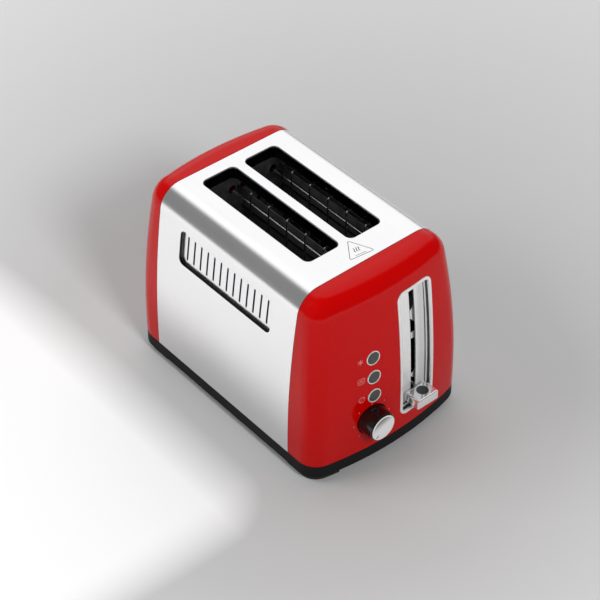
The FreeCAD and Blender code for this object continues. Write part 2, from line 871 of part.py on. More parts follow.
def make_buttons():
    """Three plated rings and three caps on stems, square to the front face."""
    for name, height in zip(BUTTON_NAMES, button_heights()):
        place = button_placement(height)
        ring_profile = [
            ("buttonRadius + buttonGap", "-capWall"),
            ("buttonRadius + buttonGap + %g" % SKIRT, "-capWall"),
            ("buttonRadius + buttonGap + %g" % SKIRT, "0.05"),
            ("buttonRadius + buttonGap + buttonRim", "0.05"),
            ("buttonRadius + buttonGap + buttonRim", "0.5"),
            ("buttonRadius + buttonGap + buttonRim - 0.4", "0.9"),
            ("buttonRadius + buttonGap + 0.3", "0.9"),
            ("buttonRadius + buttonGap", "0.6"),
        ]
        ring = turned_body("ring_" + name, ring_profile, place)
        name_part(ring, "button_ring_" + name)
        tip = stem_length(height)
        cap_profile = [
            ("0", "-%g" % tip),
            ("buttonStemRadius", "-%g" % tip),
            ("buttonStemRadius", "-capWall - 1.8"),
            ("buttonRadius + 1.6", "-capWall - 1.8"),
            ("buttonRadius + 1.6", "-capWall - 0.5"),
            ("buttonRadius", "-capWall - 0.5"),
            ("buttonRadius", "0.5"),
            ("buttonRadius - 0.5", "1"),
            ("buttonRadius / 2", "1.25"),
            ("0", "1.3"),
        ]
        cap = turned_body("cap_" + name, cap_profile, place)
        name_part(cap, "button_" + name)


def make_lever_bezel():
    """Plated window frame: a proud rim on the face and a skirt back into the cap."""
    rim_outer = window_block(size("bezelRim"), size("frontCapDepth"))
    rim_inner = window_block(0, size("frontCapDepth"))
    ring = rim_outer.cut(rim_inner)
    rim = face_barrel(-size("bezelProud"), -1).cut(face_barrel(-0.05, -1)).common(ring)
    skirt_depth = size("panelRecess") + size("panelWall")
    skirt_ring = window_block(size("bezelSkirt"), size("frontCapDepth")).cut(rim_inner)
    skirt = face_barrel(-size("bezelProud") / 2, -1).cut(face_barrel(skirt_depth, -1)).common(skirt_ring)
    bezel = rim.fuse(skirt).removeSplitter()
    front = face_barrel(-size("bezelProud") / 2, -1)
    proud = [edge for edge in bezel.Edges
             if not front.isInside(edge.valueAt((edge.FirstParameter + edge.LastParameter) / 2), 1e-6, True)]
    bezel = bezel.makeFillet(size("bezelProud") * 0.45, proud)
    return name_part(feature("lever_bezel_form", bezel), "lever_bezel")


def make_lever_panel():
    """Plate at the back of the lever window, slit for the lever."""
    recess = size("panelRecess")
    plate = face_barrel(recess, -1).cut(face_barrel(recess + size("panelWall"), -1))
    plate = plate.common(window_block(-0.1, size("frontCapDepth")))
    half = size("leverSlitWidth") / 2
    low = (size("leverSlitX") - half, size("frontY") - 5, size("leverSlitBottom"))
    high = (size("leverSlitX") + half, size("frontY") + 40, size("leverSlitTop"))
    plate = plate.cut(rounded_block(low, high, "y", 1.5))
    return name_part(feature("lever_panel_form", plate), "lever_panel")


def make_dial():
    """Browning dial: a turned body, a plated cap with a pointer groove, and the control's shaft."""
    floor_y = dial_cup_floor()
    front_y = size("frontY") - size("knobReach")
    body_front = front_y + DIAL_GAP
    back = floor_y - DIAL_GAP
    length = back - body_front
    seat = FreeCAD.Placement(Vector(size("dialX"), back, size("dialHeight")),
                             FreeCAD.Rotation(Vector(1, 0, 0), 90))
    profile = [
        ("dialShaftRadius + 0.05", "0"),
        ("dialRadius", "0"),
        ("dialRadius", "1.6"),
        ("dialFrontRadius + 0.3", "%g" % (length - 1.2)),
        ("dialFrontRadius - 0.5", "%g" % length),
        ("dialCapRadius + 0.1", "%g" % length),
        ("dialCapRadius + 0.1", "%g" % (length - 1)),
        ("0", "%g" % (length - 1)),
        ("0", "%g" % (length - 5)),
        ("dialShaftRadius + 0.05", "%g" % (length - 5)),
    ]
    name_part(turned_body("dial_turned", profile, seat), "dial_body")
    cap_profile = [
        ("0", "%g" % (length - 0.98)),
        ("dialCapRadius", "%g" % (length - 0.98)),
        ("dialCapRadius", "%g" % (length + 0.15)),
        ("dialCapRadius - 0.5", "%g" % (length + 0.42)),
        ("dialCapRadius * 0.6", "%g" % (length + 0.55)),
        ("0", "%g" % (length + 0.6)),
    ]
    cap = turned_body("dial_plated", cap_profile, seat)
    groove = scratch("Part::Box", "dial_groove")
    groove.Length, groove.Width, groove.Height = POINTER
    turned = FreeCAD.Placement(Vector(), FreeCAD.Rotation(Vector(0, 0, 1), POINTER_TURN))
    lift = Vector(-POINTER[0] / 2, size("dialCapRadius") - POINTER_INSET, length - 0.1)
    groove.Placement = seat.multiply(turned).multiply(FreeCAD.Placement(lift, FreeCAD.Rotation()))
    name_part(cut("dial_cap_cut", cap, groove), "dial_cap")
    shaft_front = body_front + 5.3
    shaft_back = size("boardY") - size("potDepth")
    shaft = rod("dial_shaft_rod", ("dialX", "%g" % shaft_front, "dialHeight"), "dialShaftRadius",
                "%g" % (shaft_back - shaft_front - 0.1), "y")
    name_part(shaft, "dial_shaft")
    pot = rod("pot_body", ("dialX", "boardY - potDepth", "dialHeight"), "potRadius", "potDepth", "y")
    name_part(pot, "potentiometer")


def make_lever_knob():
    """Plated block on the end of the lever, its edges rounded, bored for the arm."""
    left = "knobX - knobWidth / 2"
    right = "knobX + knobWidth / 2"
    corners = [
        (left, "knobBottom"),
        (right, "knobBottom"),
        (right, "knobBottom + knobHeight - 1.2"),
        ("knobX + knobWidth / 2 - 1.6", "knobBottom + knobHeight"),
        ("knobX - knobWidth / 2 + 1.6", "knobBottom + knobHeight"),
        (left, "knobBottom + knobHeight - 1.2"),
    ]
    block = padded_body("knob_block", "XZ_Plane", corners, "knobDepth",
                        "-(frontY - knobReach + 0.6 + knobDepth)", "1.5")
    slot = box("knob_slot", ("leverSlitX - armWall / 2 - 0.02", "frontY - knobReach + 8",
                             "armTop - armDepth - 0.02"), ("armWall + 0.04", "20", "armDepth + 0.04"))
    name_part(cut("lever_knob_cut", block, slot), "lever_knob")


# ---------------------------------------------------------------- oven

def plate_screw_places():
    """Where the end plates' feet are screwed to the base: x and y of each screw."""
    x = size("plateHalf") + size("plateLeg") / 2
    return [(side * x, y) for y in (size("plateFront") - 6, size("plateRear") + 6) for side in (-1, 1)]


def rail_x(side, outer):
    """Expression for the x of a guard's two rails, on the heater's side of its wires."""
    if outer:
        return "%d * (outerGuardX + %g)" % (side, RAIL_STEP)
    return "%d * (innerGuardX - %g)" % (side, RAIL_STEP)


def plate_cutouts(name, low_y):
    """Everything cut through an end plate: lifter slots, guard holes and card slots."""
    deep = "10"
    tools = []
    for side in (-1, 1):
        tools.append(box("%s_lift_%d" % (name, side),
                         ("%d * slotX - lifterWall / 2 - 1.2" % side, low_y, "lifterTop - lifterDepth - 2"),
                         ("lifterWall + 2.4", deep, "lifterDepth + liftTravel + 4")))
        for outer in (False, True):
            lean = -0.6 if outer == (side < 0) else 0.6
            x = rail_x(side, outer)
            tools.append(rod("%s_pivot_%d_%d" % (name, side, outer), (x, low_y, "guardPivot"),
                             "wireRadius + pivotGap", deep, "y"))
            tools.append(rod("%s_rail_%d_%d" % (name, side, outer),
                             ("%s + %g" % (x, lean), low_y, "guardRail"), RAIL_HOLE, deep, "y"))
        notch_x = "plateNotch - bodyWidth / 2 - 40" if side < 0 else "bodyWidth / 2 - plateNotch"
        tools.append(box("%s_notch_%d" % (name, side), (notch_x, low_y, "plateTop - 14"), ("40", deep, "20")))
        mirror_x = "%d * (reflectorOffset + reflectorWall / 2) - reflectorWall / 2" % side
        tools.append(box("%s_mirror_%d" % (name, side),
                         ("%s - %g" % (mirror_x, TAB_GAP), low_y, "%s - %g" % (MIRROR_TAB_LOW, TAB_GAP)),
                         ("reflectorWall + %g" % (2 * TAB_GAP), deep,
                          "%s + %g" % (MIRROR_TAB_HEIGHT, 2 * TAB_GAP))))
    for index, x in enumerate(("-cardOffset", "0", "cardOffset")):
        for level in TAB_LEVELS:
            tools.append(box("%s_card_%d_%s" % (name, index, level[:5]),
                             ("%s - cardWall / 2 - %g" % (x, TAB_GAP), low_y, "%s - %g" % (level, TAB_GAP)),
                             ("cardWall + %g" % (2 * TAB_GAP), deep, "%s + %g" % (TAB_HEIGHT, 2 * TAB_GAP))))
    return tools


def make_end_plate(label, low_y, foot_y):
    """A steel end wall of the oven on two legs with feet bent out over the base."""
    pieces = [box(label + "_wall", ("-plateHalf", low_y, "plateBottom"),
                  ("2 * plateHalf", "plateWall", "plateTop - plateBottom"))]
    for side, start in ((-1, "-plateHalf - plateLeg"), (1, "plateHalf")):
        pieces.append(box("%s_leg_%d" % (label, side), (start, low_y, "floorTop"),
                          ("plateLeg", "plateWall", LEG_HEIGHT)))
        pieces.append(box("%s_foot_%d" % (label, side), (start, foot_y, "floorTop"),
                          ("plateLeg", "%d + plateWall" % PLATE_FOOT, "plateWall")))
    tools = plate_cutouts(label, low_y + " - 5")
    for index, (x, y) in enumerate(plate_screw_places()):
        tools.append(rod("%s_screw_%d" % (label, index), ("%g" % x, "%g" % y, "0"), SCREW_RADIUS, "30", "z"))
    if label == "front_plate":
        for level, z in (("high", "plateTop - 12"), ("low", "guardPivot - 6")):
            pieces.append(box("rod_shelf_" + level, ("rodX - %d" % SHELF_LEFT, "rodY - %d" % SHELF_EDGE, z),
                              (SHELF_WIDTH, "rodOffset + %d" % SHELF_EDGE, SHELF_WALL)))
        tools.append(rod("rod_shelf_hole", ("rodX", "rodY", "0"), "rodRadius + 0.03", "plateTop", "z"))
    plate = cut(label + "_cut", fuse(label + "_sheet", pieces), fuse(label + "_tools", tools))
    name_part(plate, label)


def make_cards():
    """Three mica cards with tabs through the end plates, each wound with flat ribbon."""
    places = (("left", "-cardOffset"), ("centre", "0"), ("right", "cardOffset"))
    for name, x in places:
        pieces = [box("card_%s" % name, (x + " - cardWall / 2", "plateFront + %g" % CARD_EDGE, "cardBottom"),
                      ("cardWall", "ovenLength - %g" % (2 * CARD_EDGE), "cardTop - cardBottom"))]
        for level in TAB_LEVELS:
            pieces.append(box("card_%s_%s" % (name, level[:5]),
                              (x + " - cardWall / 2", "plateFront - plateWall - %g" % TAB_REACH, level),
                              ("cardWall", "ovenLength + 2 * plateWall + %g" % (2 * TAB_REACH), TAB_HEIGHT)))
        name_part(fuse("card_%s_body" % name, pieces), "heater_card_" + name)
        name_part(group("ribbon_%s_group" % name, ribbon_turns(name, x)), "heater_ribbon_" + name)


def ribbon_turns(name, x):
    """Flat turns of resistance ribbon round one card."""
    clear = RIBBON_GAP
    wall = size("ribbonWall")
    span = size("cardTop") - size("cardBottom") - 2 * RIBBON_EDGE
    count = int(span / size("ribbonPitch")) + 1
    turns = []
    for index in range(count):
        level = "cardBottom + %d + %d * ribbonPitch" % (RIBBON_EDGE, index)
        hollow = (x + " - cardWall / 2 - %g" % clear, "plateFront + %g" % (CARD_EDGE - clear), level + " - 1")
        inner = box("ribbon_%s_in_%d" % (name, index), hollow,
                    ("cardWall + %g" % (2 * clear), "ovenLength - %g" % (2 * CARD_EDGE - 2 * clear),
                     "ribbonHeight + 2"))
        edge = clear + wall
        start = (x + " - cardWall / 2 - %g" % edge, "plateFront + %g" % (CARD_EDGE - edge), level)
        outer = box("ribbon_%s_out_%d" % (name, index), start,
                    ("cardWall + %g" % (2 * edge), "ovenLength - %g" % (2 * CARD_EDGE - 2 * edge),
                     "ribbonHeight"))
        turns.append(cut("ribbon_%s_%d" % (name, index), outer, inner))
    return turns


def make_reflectors():
    """Bright sheets behind the outer heaters, tabbed into the end plates."""
    for side, name in ((-1, "left"), (1, "right")):
        x = "%d * (reflectorOffset + reflectorWall / 2) - reflectorWall / 2" % side
        sheet_box = box("reflector_%s_sheet" % name, (x, "plateFront + %g" % TAB_GAP, "plateBottom + 10"),
                        ("reflectorWall", "ovenLength - %g" % (2 * TAB_GAP), "plateTop - %d" % MIRROR_DROP))
        tab = box("reflector_%s_tab" % name, (x, "plateFront - plateWall - %g" % TAB_REACH, MIRROR_TAB_LOW),
                  ("reflectorWall", "ovenLength + 2 * plateWall + %g" % (2 * TAB_REACH), MIRROR_TAB_HEIGHT))
        name_part(fuse("reflector_%s_body" % name, [sheet_box, tab]), "reflector_" + name)


def guard_wire_y(index):
    """Expression for the y of one upright wire, the five centred in the slot."""
    return "(slotFront + slotRear) / 2 - %g + %d * guardPitch" % (GUARD_SHIFT, index - GUARD_WIRES // 2)


def make_guard(label, side, outer):
    """A rack of hooked upright wires welded to two rails; it swings on the lower rail."""
    away = side if outer else -side
    x = "%d * %s" % (side, "outerGuardX" if outer else "innerGuardX")
    bend_z = "guardTop - wireRadius - %g" % HOOK_RADIUS
    pieces = []
    for level in ("guardPivot", "guardRail"):
        start = (rail_x(side, outer), "plateFront - plateWall - %g" % RAIL_REACH, level)
        run = "ovenLength + 2 * plateWall + %g" % (2 * RAIL_REACH)
        pieces.append(rod("%s_%s" % (label, level), start, "wireRadius", run, "y"))
    for index in range(GUARD_WIRES):
        y = guard_wire_y(index)
        pieces.append(rod("%s_wire_%d" % (label, index), (x, y, "guardPivot - 1"), "wireRadius",
                          "guardTop - wireRadius - %g - guardPivot + 1" % HOOK_RADIUS, "z"))
        bend = scratch("Part::Torus", "%s_bend_%d" % (label, index))
        bend.Radius1 = HOOK_RADIUS
        bend.setExpression("Radius2", bind("wireRadius"))
        bend.Angle3 = 90
        start = 180 if away > 0 else 270
        turn = AXIS_TURN["y"].multiply(FreeCAD.Rotation(Vector(0, 0, 1), start))
        bend.Placement = FreeCAD.Placement(Vector(), turn)
        pieces.append(put(bend, ("%s + %g" % (x, away * HOOK_RADIUS), y, bend_z)))
        leg_low = "%s + %g" % (x, away * HOOK_RADIUS)
        if away < 0:
            leg_low = "%s - guardHook" % x
        pieces.append(rod("%s_leg_%d" % (label, index), (leg_low, y, "guardTop - wireRadius"), "wireRadius",
                          "guardHook - %g" % HOOK_RADIUS, "x"))
    name_part(fuse(label + "_rack", pieces), label)


# ---------------------------------------------------------------- bread carriage

def make_carriage():
    """Slide on the guide rod: a bush, a cross plate, a spring ear and the latch tongue."""
    back = "plateFront - plateWall - %g" % CARRIAGE_GAP
    front = "%s - %g" % (back, CARRIAGE_WALL)
    pieces = [
        box("cross_plate", ("-slotX - carriageOverhang", front, "carriageBottom"),
            ("2 * (slotX + carriageOverhang)", CARRIAGE_WALL, "carriageHeight")),
        rod("bush", ("rodX", "rodY", "carriageBottom - 2.3"), "rodRadius + bushWall", "bushLength", "z"),
        box("web", ("rodX - 1.5", "rodY", "carriageBottom"),
            ("3", "rodOffset - %g" % CARRIAGE_GAP, "carriageHeight")),
        box("spring_ear", ("springX - 4", "rodY - 2", "carriageTop - 2.3"), ("springOffset + 4", "4", "2")),
        box("tongue", ("latchX - 2", "tongueY", "carriageBottom"),
            ("4", "plateFront - plateWall - %g - tongueY" % CARRIAGE_GAP, "2")),
    ]
    bore = rod("bush_bore", ("rodX", "rodY", "carriageBottom - 10"), "rodRadius + pivotGap",
               "bushLength * 2", "z")
    name_part(cut("carriage_cut", fuse("carriage_sheet", pieces), bore), "carriage")
    keeper_corner = ("latchX - armatureWidth / 2", "tongueY - 0.5", "carriageBottom - armatureWall")
    keeper = box("armature_plate", keeper_corner, ("armatureWidth", "12", "armatureWall"))
    name_part(keeper, "armature")
    guide = rod("guide_rod_steel", ("rodX", "rodY", "guardPivot - 9"), "rodRadius",
                "plateTop - guardPivot + 1", "z")
    name_part(guide, "guide_rod")


def make_lifters():
    """Two bread lifters: a bar through both end plates with cross fingers under the bread."""
    back = "plateFront - plateWall - %g" % CARRIAGE_GAP
    for side, name in ((-1, "left"), (1, "right")):
        pieces = [box("lifter_%s_bar" % name,
                      ("%d * slotX - lifterWall / 2" % side, back, "lifterTop - lifterDepth"),
                      ("lifterWall", "ovenLength + 2 * plateWall + %g + 3" % CARRIAGE_GAP, "lifterDepth"))]
        for index in range(GUARD_WIRES + 1):
            y = "%s - guardPitch / 2 - 1.5" % guard_wire_y(index)
            pieces.append(box("lifter_%s_finger_%d" % (name, index),
                              ("%d * slotX - fingerReach" % side, y, "lifterTop - 0.8"),
                              ("2 * fingerReach", "3", "1.6")))
        name_part(fuse("lifter_%s_body" % name, pieces), "lifter_" + name)


def make_lever_arm():
    """Flat steel arm from the carriage out through the lever slit into the knob."""
    low_y = "frontY - knobReach + 8.02"
    back = "plateFront - plateWall - %g - %g" % (CARRIAGE_GAP, CARRIAGE_WALL)
    arm = box("arm_bar", ("leverSlitX - armWall / 2", low_y, "armTop - armDepth"),
              ("armWall", "%s - (%s)" % (back, low_y), "armDepth"))
    name_part(arm, "lever_arm")


def make_lift_spring():
    """Tension spring from the upper shelf to the carriage: a helix of round wire, stretched."""
    low = size("carriageTop")
    high = size("plateTop") - size("latchGap") - 12
    wire = size("springWire")
    length = high - low - 2 * wire
    path = Part.makeHelix(length / SPRING_TURNS, length, size("springRadius") - wire)
    start = Vector(size("springRadius") - wire, 0, 0)
    profile = Part.Wire(Part.makeCircle(wire, start, Vector(0, 1, 0)))
    coil = Part.Wire(path).makePipeShell([profile], True, False)
    spring = feature("lift_spring_coil", coil)
    foot = Vector(size("springX"), size("rodY"), low + wire)
    spring.Placement = FreeCAD.Placement(foot, FreeCAD.Rotation())
    name_part(spring, "lift_spring")


# ---------------------------------------------------------------- electrics

def make_board():
    """Control board behind the buttons, with its switches, latch magnet and mains contacts."""
    board = box("board_blank", ("boardRight - boardWidth", "boardY", "boardBottom"),
                ("boardWidth", "boardWall", "boardHeight"))
    holes = [rod("board_hole_%d" % index, ("%g" % x, "boardY - 5", "%g" % z), "1.3", "10", "y")
             for index, (x, z) in enumerate(board_post_places())]
    name_part(cut("board_cut", board, fuse("board_holes", holes)), "control_board")
    switches = []
    for name, height in zip(BUTTON_NAMES, button_heights()):
        point, normal = face_frame(size("buttonX"), height)
        run = (size("boardY") - size("switchDepth") - point.y) / -normal.y
        spot = point - normal * run
        side = size("switchSide")
        switches.append(box("switch_" + name, ("%g" % (spot.x - side / 2), "boardY - switchDepth",
                                               "%g" % (spot.z - side / 2)),
                            ("switchSide", "switchDepth", "switchSide")))
    name_part(group("switch_group", switches), "button_switches")
    back = "boardY + boardWall"
    core_y = back + " + 4.5"
    core = box("core_bar", ("latchX - coreSide / 2", core_y, "coreBottom"),
               ("coreSide", "coreSide", "coreHeight"))
    yoke = box("core_yoke", ("latchX - coreSide / 2", back, "coreBottom"), ("coreSide", "5", "3"))
    name_part(fuse("core_body", [core, yoke]), "magnet_core")
    coil_y = core_y + " + (coreSide - coilSide) / 2"
    winding = box("coil_block", ("latchX - coilSide / 2", coil_y, "coreBottom + 3.2"),
                  ("coilSide", "coilSide", "coilHeight"))
    hollow = box("coil_hollow", ("latchX - coreSide / 2 - 0.1", core_y + " - 0.1", "coreBottom - 4"),
                 ("coreSide + 0.2", "coreSide + 0.2", "30"))
    name_part(cut("coil_cut", winding, hollow), "magnet_coil")
    name_part(box("contact_body", ("-46", back, "30"), ("12", "9", "12")), "contact_block")
    leaves = [box("leaf_%d" % index, ("%g" % x, back + " + %g" % y, "42"), ("3.5", "0.4", "16"))
              for index, (x, y) in enumerate(((-45, 2.5), (-45, 6), (-38.5, 2.5), (-38.5, 6)))]
    name_part(group("leaf_group", leaves), "contact_leaves")


def screw(name, x, y, z, length, along):
    """A pan-head screw: head below the start point, shank running on from it."""
    if along == "z":
        head = rod(name + "_head", (x, y, "%s - %g" % (z, HEAD_HEIGHT)), HEAD_RADIUS, HEAD_HEIGHT, "z")
        shank = rod(name + "_shank", (x, y, z), SCREW_RADIUS - 0.05, length, "z")
        return fuse(name, [head, shank])
    head = rod(name + "_head", (x, y, z), SMALL_HEAD_RADIUS, SMALL_HEAD_HEIGHT, "y")
    shank = rod(name + "_shank", (x, "%s - %s" % (y, length), z), SMALL_SCREW_RADIUS, length, "y")
    return fuse(name, [head, shank])


def make_screws():
    """Three groups of screws: base to caps, base to end plates, board to posts."""
    base_group = [screw("base_screw_%d" % index, "%g" % x, "%g" % y, "footHeight", "24", "z")
                  for index, (x, y) in enumerate(base_screw_places())]
    name_part(group("base_screw_group", base_group), "base_screws")
    plate_group = [screw("plate_screw_%d" % index, "%g" % x, "%g" % y, "footHeight", "7", "z")
                   for index, (x, y) in enumerate(plate_screw_places())]
    name_part(group("plate_screw_group", plate_group), "plate_screws")
    board_group = [screw("board_screw_%d" % index, "%g" % x, "boardY + boardWall", "%g" % z, "8", "y")
                   for index, (x, z) in enumerate(board_post_places())]
    name_part(group("board_screw_group", board_group), "board_screws")


# ---------------------------------------------------------------- crumb tray

def make_crumb_tray():
    """Sheet-metal pan that slides out of the rear, and its moulded grip."""
    half = size("trayWidth") / 2
    end_y = size("rearY") - half ** 2 / (2 * size("faceBowRadius")) - size("baseWall") - 1
    pan = box("pan_outer", ("-trayWidth / 2", "trayFront", "trayBottom"),
              ("trayWidth", "%g - trayFront" % end_y, "trayDepth"))
    hollow = box("pan_hollow", ("-trayWidth / 2 + trayWall", "trayFront + trayWall", "trayBottom + trayWall"),
                 ("trayWidth - 2 * trayWall", "%g - trayFront - 2 * trayWall" % end_y, "trayDepth"))
    name_part(cut("pan_cut", pan, hollow), "crumb_tray")
    low_z = size("trayBottom")
    high_z = low_z + size("trayDepth")
    front = Part.makeBox(2 * half, 30, high_z - low_z, Vector(-half, end_y, low_z))
    front = form(0.4).common(front)
    tip_y = size("rearY") + size("gripReach")
    lip_half = 24
    lip = rounded_block((-lip_half, end_y, low_z), (lip_half, tip_y, low_z + 3), "z", 5)
    grip = front.fuse(lip).removeSplitter()
    name_part(feature("tray_grip_form", grip), "tray_grip")


# ---------------------------------------------------------------- build and export

def build():
    """Make every sub-part."""
    make_steel_shell()
    make_front_cap()
    make_rear_cap()
    make_cord_gland()
    make_base()
    make_feet()
    make_buttons()
    make_lever_bezel()
    make_lever_panel()
    make_dial()
    make_lever_knob()
    make_end_plate("front_plate", "plateFront - plateWall", "plateFront - plateWall - 12")
    make_end_plate("rear_plate", "plateRear", "plateRear")
    make_cards()
    make_reflectors()
    for side, name in ((-1, "left"), (1, "right")):
        make_guard("guard_%s_inner" % name, side, False)
        make_guard("guard_%s_outer" % name, side, True)
    make_carriage()
    make_lifters()
    make_lever_arm()
    make_lift_spring()
    make_board()
    make_screws()
    make_crumb_tray()


def check():
    """Stop if any object failed or any sub-part has no sound shape."""
    faults = []
    for obj in doc.Objects:
        if "Invalid" in obj.State or "Error" in obj.State:
            faults.append("%s: %s" % (obj.Name, obj.State))
    for part in SUB_PARTS:
        if part.Shape.isNull() or not part.Shape.isValid() or not part.Shape.Solids:
            faults.append("%s has no sound shape" % part.Label)
    if len({part.Label for part in SUB_PARTS}) != len(SUB_PARTS):
        faults.append("two sub-parts share a label")
    if faults:
        raise RuntimeError("; ".join(faults))


def export():
    """Write one STEP file for each sub-part."""
    os.makedirs("parts", exist_ok=True)
    for part in SUB_PARTS:
        part.Shape.exportStep("parts/%s.step" % part.Label)


build()
doc.recompute()
check()
export()
print("%d sub-parts" % len(SUB_PARTS))
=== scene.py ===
import math
import bpy
import numpy as np
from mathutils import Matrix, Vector


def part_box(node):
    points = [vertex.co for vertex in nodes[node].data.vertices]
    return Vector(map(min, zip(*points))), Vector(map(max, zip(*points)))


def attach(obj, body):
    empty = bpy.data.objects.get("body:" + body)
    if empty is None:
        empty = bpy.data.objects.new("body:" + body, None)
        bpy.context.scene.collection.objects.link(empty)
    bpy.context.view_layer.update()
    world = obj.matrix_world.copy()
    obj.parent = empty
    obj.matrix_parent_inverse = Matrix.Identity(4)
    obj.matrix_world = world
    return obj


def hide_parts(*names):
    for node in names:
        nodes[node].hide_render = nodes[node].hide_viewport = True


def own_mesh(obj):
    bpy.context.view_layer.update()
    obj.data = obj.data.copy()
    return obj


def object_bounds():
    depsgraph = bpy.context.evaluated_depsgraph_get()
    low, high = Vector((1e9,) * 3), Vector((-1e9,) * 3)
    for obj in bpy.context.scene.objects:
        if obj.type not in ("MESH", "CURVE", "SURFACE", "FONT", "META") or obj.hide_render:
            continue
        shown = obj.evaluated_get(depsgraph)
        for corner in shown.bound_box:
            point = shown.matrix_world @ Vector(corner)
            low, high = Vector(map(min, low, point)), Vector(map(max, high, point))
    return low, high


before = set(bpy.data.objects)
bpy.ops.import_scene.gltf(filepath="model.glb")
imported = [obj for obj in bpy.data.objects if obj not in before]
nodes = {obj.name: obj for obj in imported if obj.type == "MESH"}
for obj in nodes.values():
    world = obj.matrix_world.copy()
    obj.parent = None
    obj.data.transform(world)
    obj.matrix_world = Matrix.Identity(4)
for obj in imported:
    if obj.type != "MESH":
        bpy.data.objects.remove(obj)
cad_low, cad_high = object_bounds()

# Steel wrap.
# One sheet of stainless steel goes over the top and down both sides. It is brushed along
# its length, and the vent panels and the mouths of the slots are pressed into it.


def new_group(name, inputs, outputs):
    """An empty shader group with its sockets; inputs are (name, kind, value) and outputs (name, kind)."""
    group = bpy.data.node_groups.new(name, "ShaderNodeTree")
    for label, kind, value in inputs:
        socket = group.interface.new_socket(label, in_out="INPUT", socket_type=kind)
        socket.default_value = value
    for label, kind in outputs:
        group.interface.new_socket(label, in_out="OUTPUT", socket_type=kind)
    return group


def add(tree, kind, **settings):
    """A node with its properties and inputs: an input is named, or i and its number, and a setting that is
    another socket is linked."""
    node = tree.nodes.new(kind)
    for key, value in settings.items():
        if hasattr(node, key) and key not in node.inputs:
            setattr(node, key, value)
            continue
        socket = node.inputs[int(key[1:])] if key[0] == "i" and key[1:].isdigit() else node.inputs[key]
        if isinstance(value, bpy.types.NodeSocket):
            tree.links.new(value, socket)
        else:
            socket.default_value = value
    return node


def calc(tree, operation, *terms):
    """One step of arithmetic on sockets or numbers, as the socket that holds its result."""
    inputs = {"i" + str(index): term for index, term in enumerate(terms)}
    return add(tree, "ShaderNodeMath", operation=operation, **inputs).outputs[0]


def measure(tree, operation, first, second=(0.0, 0.0, 0.0)):
    """A number from two vectors, such as their distance or dot product, or from the first one alone."""
    return add(tree, "ShaderNodeVectorMath", operation=operation, i0=first, i1=second).outputs["Value"]


def ramp(tree, value, start, end, first=0.0, last=1.0, kind="LINEAR"):
    """A value that goes from first at the start to last at the end, and stays there on both sides."""
    return add(tree, "ShaderNodeMapRange", interpolation_type=kind, i0=value, i1=start, i2=end, i3=first,
               i4=last).outputs[0]


def blend(tree, share, under, over, kind="MIX"):
    """A colour laid over another by a share; each is a socket or a plain colour."""
    return add(tree, "ShaderNodeMix", data_type="RGBA", blend_type=kind, i0=share, i6=under,
               i7=over).outputs[2]


def spot_on(tree):
    """The point on the piece, in metres, as the tree's socket."""
    return add(tree, "ShaderNodeTexCoord").outputs["Object"]


def facing(tree):
    """The flat direction that the surface faces, as its three parts."""
    true_normal = add(tree, "ShaderNodeNewGeometry").outputs["True Normal"]
    return add(tree, "ShaderNodeSeparateXYZ", Vector=true_normal).outputs


# Grain: noise drawn out along one direction, as a brush or a mould leaves it.
CLOUD_SCALE = 14.0
grain = new_group("drawn_grain",
                  [("Stretch", "NodeSocketVector", (1000.0, 12.0, 1000.0)),
                   ("Detail", "NodeSocketFloat", 3.0)],
                  [("Grain", "NodeSocketFloat"), ("Cloud", "NodeSocketFloat")])
spot = spot_on(grain)
group_in = add(grain, "NodeGroupInput")
group_out = add(grain, "NodeGroupOutput")
stretched = add(grain, "ShaderNodeVectorMath", operation="MULTIPLY", i0=spot,
                i1=group_in.outputs["Stretch"])
lines = add(grain, "ShaderNodeTexNoise", Vector=stretched.outputs[0], Scale=1.0, Roughness=0.65,
            Detail=group_in.outputs["Detail"])
cloud = add(grain, "ShaderNodeTexNoise", Vector=spot, Scale=CLOUD_SCALE, Detail=3.0, Roughness=0.5)
grain.links.new(lines.outputs[0], group_out.inputs["Grain"])
grain.links.new(cloud.outputs[0], group_out.inputs["Cloud"])

# Soft edges: the shading normal is rounded over sharp edges, and the same rounding marks the worn edge.
UNWORN = 0.995
FULLY_WORN = 0.85
edges = new_group("soft_edges",
                  [("Radius", "NodeSocketFloat", 0.0004), ("Height", "NodeSocketFloat", 0.0),
                   ("Depth", "NodeSocketFloat", 0.00001)],
                  [("Normal", "NodeSocketVector"), ("Edge", "NodeSocketFloat")])
group_in = add(edges, "NodeGroupInput")
group_out = add(edges, "NodeGroupOutput")
rounded = add(edges, "ShaderNodeBevel", samples=4, Radius=group_in.outputs["Radius"])
unrounded = add(edges, "ShaderNodeNewGeometry").outputs["Normal"]
agree = measure(edges, "DOT_PRODUCT", rounded.outputs[0], unrounded)
bump = add(edges, "ShaderNodeBump", Strength=1.0, Distance=group_in.outputs["Depth"],
           Height=group_in.outputs["Height"], Normal=rounded.outputs[0])
edges.links.new(bump.outputs[0], group_out.inputs["Normal"])
edges.links.new(ramp(edges, agree, UNWORN, FULLY_WORN), group_out.inputs["Edge"])

# A finish's pattern is mostly grain and partly cloud. Wear brightens the edges and covers more of them.
GRAIN_SHARE = 0.6
CLOUD_SHARE = 0.4
PATTERN_FROM = 0.3
PATTERN_TO = 0.7
RUBBED_GAIN = 2.5
RUBBED_LIFT = 0.08
WEAR_COVER = 4
SMOOTHEST = 0.01


